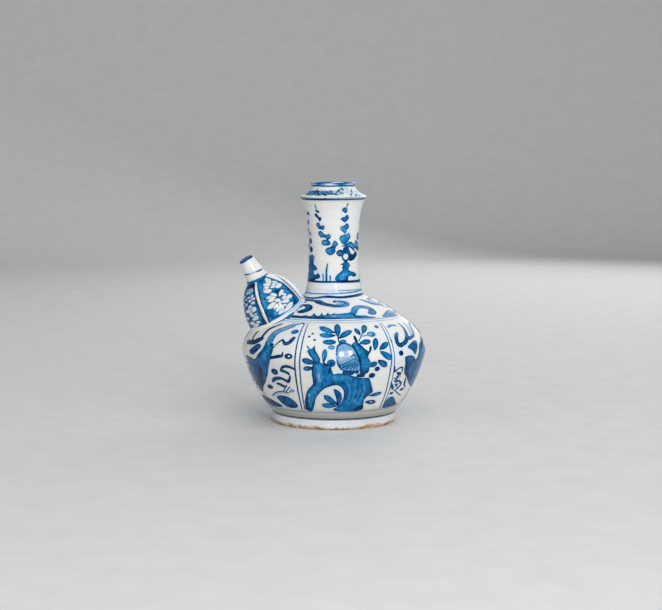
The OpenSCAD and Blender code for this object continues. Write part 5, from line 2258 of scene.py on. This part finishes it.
        touches = [Painting(SpoutArt.BEAD, SpoutArt.TURNS)]
        layers = named(painted(touches, grid_angles, grid_across, round_it))
        ends = (points[0].mean(axis=0), points[-1].mean(axis=0))
        skin = Skin(points, layers, wrap_rows=False, first_pole=ends[0], last_pole=ends[1])
        return make_piece("spout_lute", [skin], None)

    def dress(self, pieces: Sequence[Piece], lute: Piece, glaze: Material) -> None:
        """Gives bulb, nozzle, ribs and bead the painted glaze."""
        for piece in pieces:
            dress(piece, glaze)
        dress(lute, glaze)


@dataclass
class Studio:
    """Pale sweep of floor and backdrop, soft lights and the camera at the photograph's angle."""

    camera_at: Place = (-0.2793, -1.3050, 0.2325)
    camera_tilt_deg: float = 84.008
    camera_turn_deg: float = -11.98
    lens_mm: float = 91.67
    sensor_mm: float = 36.0
    floor_half: float = 3.0
    sweep_from: float = 1.6
    sweep_up: float = 2.4
    world: Colour = srgb(236, 240, 245)
    world_strength: float = 0.27
    broad_m: float = 2.0

    def build_floor(self) -> Piece:
        """Builds the sweep: a level sheet whose back eases up into a wall by a squared rise.

        Returns:
            The floor.
        """
        across, deep = np.meshgrid(np.linspace(-1.0, 1.0, 25), np.linspace(-1.0, 1.0, 61))
        y = self.floor_half * deep
        rise = np.clip((y - self.sweep_from) / (self.floor_half - self.sweep_from), 0.0, 1.0)
        points = np.stack([self.floor_half * across, y, self.sweep_up * rise**2], axis=-1)
        skin = Skin(points, {}, wrap_rows=False, wrap_columns=False)
        quads, _ = skin.faces(0)
        mesh = bpy.data.meshes.new("studio_floor")
        mesh.from_pydata(points.reshape(-1, 3).tolist(), [], quads.tolist())
        mesh.polygons.foreach_set("use_smooth", np.ones(len(quads), bool))
        floor = bpy.data.objects.new("studio_floor", mesh)
        bpy.context.scene.collection.objects.link(floor)
        mesh.materials.append(StudioFloor("studio_floor").make())
        return floor

    def add_light(self, name: str, at: Place, aim: Place, size: float, watts: float) -> Piece:
        """Adds a square soft light aimed at a point; a broad one is not mirrored in the glaze.

        Args:
            name: name of the light.
            at: where it hangs.
            aim: what it points at.
            size: side of the square in metres.
            watts: its power.

        Returns:
            The light.
        """
        lamp = bpy.data.lights.new(name, "AREA")
        lamp.size = size
        lamp.energy = watts
        light = bpy.data.objects.new(name, lamp)
        light.visible_camera = False
        light.visible_glossy = size < self.broad_m
        light.location = at
        heading = np.array(aim) - np.array(at)
        flat = math.hypot(heading[0], heading[1])
        light.rotation_euler = (math.atan2(flat, -heading[2]), 0.0, math.atan2(-heading[0], heading[1]))
        bpy.context.scene.collection.objects.link(light)
        return light

    def build_lights(self) -> None:
        """Adds the back key on the right, the broad front fill, the side fill and the sky."""
        middle = (0.0, 0.0, 0.10)
        self.add_light("key", (0.75, 0.95, 0.85), middle, 1.5, 8.0)
        self.add_light("front_fill", (0.5, -2.1, 1.9), middle, 3.2, 51.5)
        self.add_light("side_fill", (-1.3, -0.5, 0.9), middle, 1.2, 3.0)
        self.add_light("left_window", (-0.06, -1.5, 0.57), middle, 0.14, 3.6)
        self.add_light("right_window", (0.22, -1.5, 0.64), middle, 0.11, 2.8)
        world = bpy.data.worlds.new("studio_sky")
        bpy.context.scene.world = world
        world.use_nodes = True
        sky = world.node_tree.nodes["Background"]
        sky.inputs[0].default_value = self.world
        sky.inputs[1].default_value = self.world_strength

    def build_camera(self) -> Piece:
        """Adds the camera and makes it the scene's own.

        Returns:
            The camera.
        """
        data = bpy.data.cameras.new("camera")
        data.lens = self.lens_mm
        data.sensor_width = self.sensor_mm
        camera = bpy.data.objects.new("camera", data)
        camera.location = self.camera_at
        tilt, turn = math.radians(self.camera_tilt_deg), math.radians(self.camera_turn_deg)
        camera.rotation_euler = (tilt, 0.0, turn)
        bpy.context.scene.collection.objects.link(camera)
        bpy.context.scene.camera = camera
        return camera

    def build(self) -> None:
        """Builds camera, floor and lights, and sets the plain view."""
        self.build_camera()
        self.build_floor()
        self.build_lights()
        bpy.context.scene.view_settings.view_transform = "Standard"


def main() -> None:
    """Builds the studio and each section of the pot in the order in which they are luted."""
    logging.basicConfig(level=logging.INFO, format="%(name)s: %(message)s")
    Studio().build()
    sizes, hand = PotSizes.measured(), Hand()
    body_glaze = CobaltGlaze("painted_glaze").make()
    neck_glaze = CobaltGlaze("neck_glaze").make()
    spout_glaze = CobaltGlaze("spout_glaze", soft_mm=0.22, outline_mm=0.4).make()
    foot = Foot(sizes, hand)
    foot.dress(foot.build())
    body = Body(sizes, hand)
    body.dress([body.build_lower(), body.build_upper()], body_glaze)
    neck = Neck(sizes, hand)
    neck.dress(neck.build(), neck.build_fillet(), neck_glaze)
    mouth = Mouth(sizes, hand)
    mouth.dress([mouth.build_flange(), mouth.build_lip()], neck_glaze)
    spout = Spout(sizes)
    shell = [spout.build_bulb(), spout.build_nozzle(), spout.build_ribs()]
    spout.dress(shell, spout.build_lute(), spout_glaze)
    dress(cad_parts["girth_lute"], InsideSlip("inside_slip").make())
    LOG.info("girth_lute: solid kept, out of sight inside the seam")


if __name__ == "__main__":
    main()
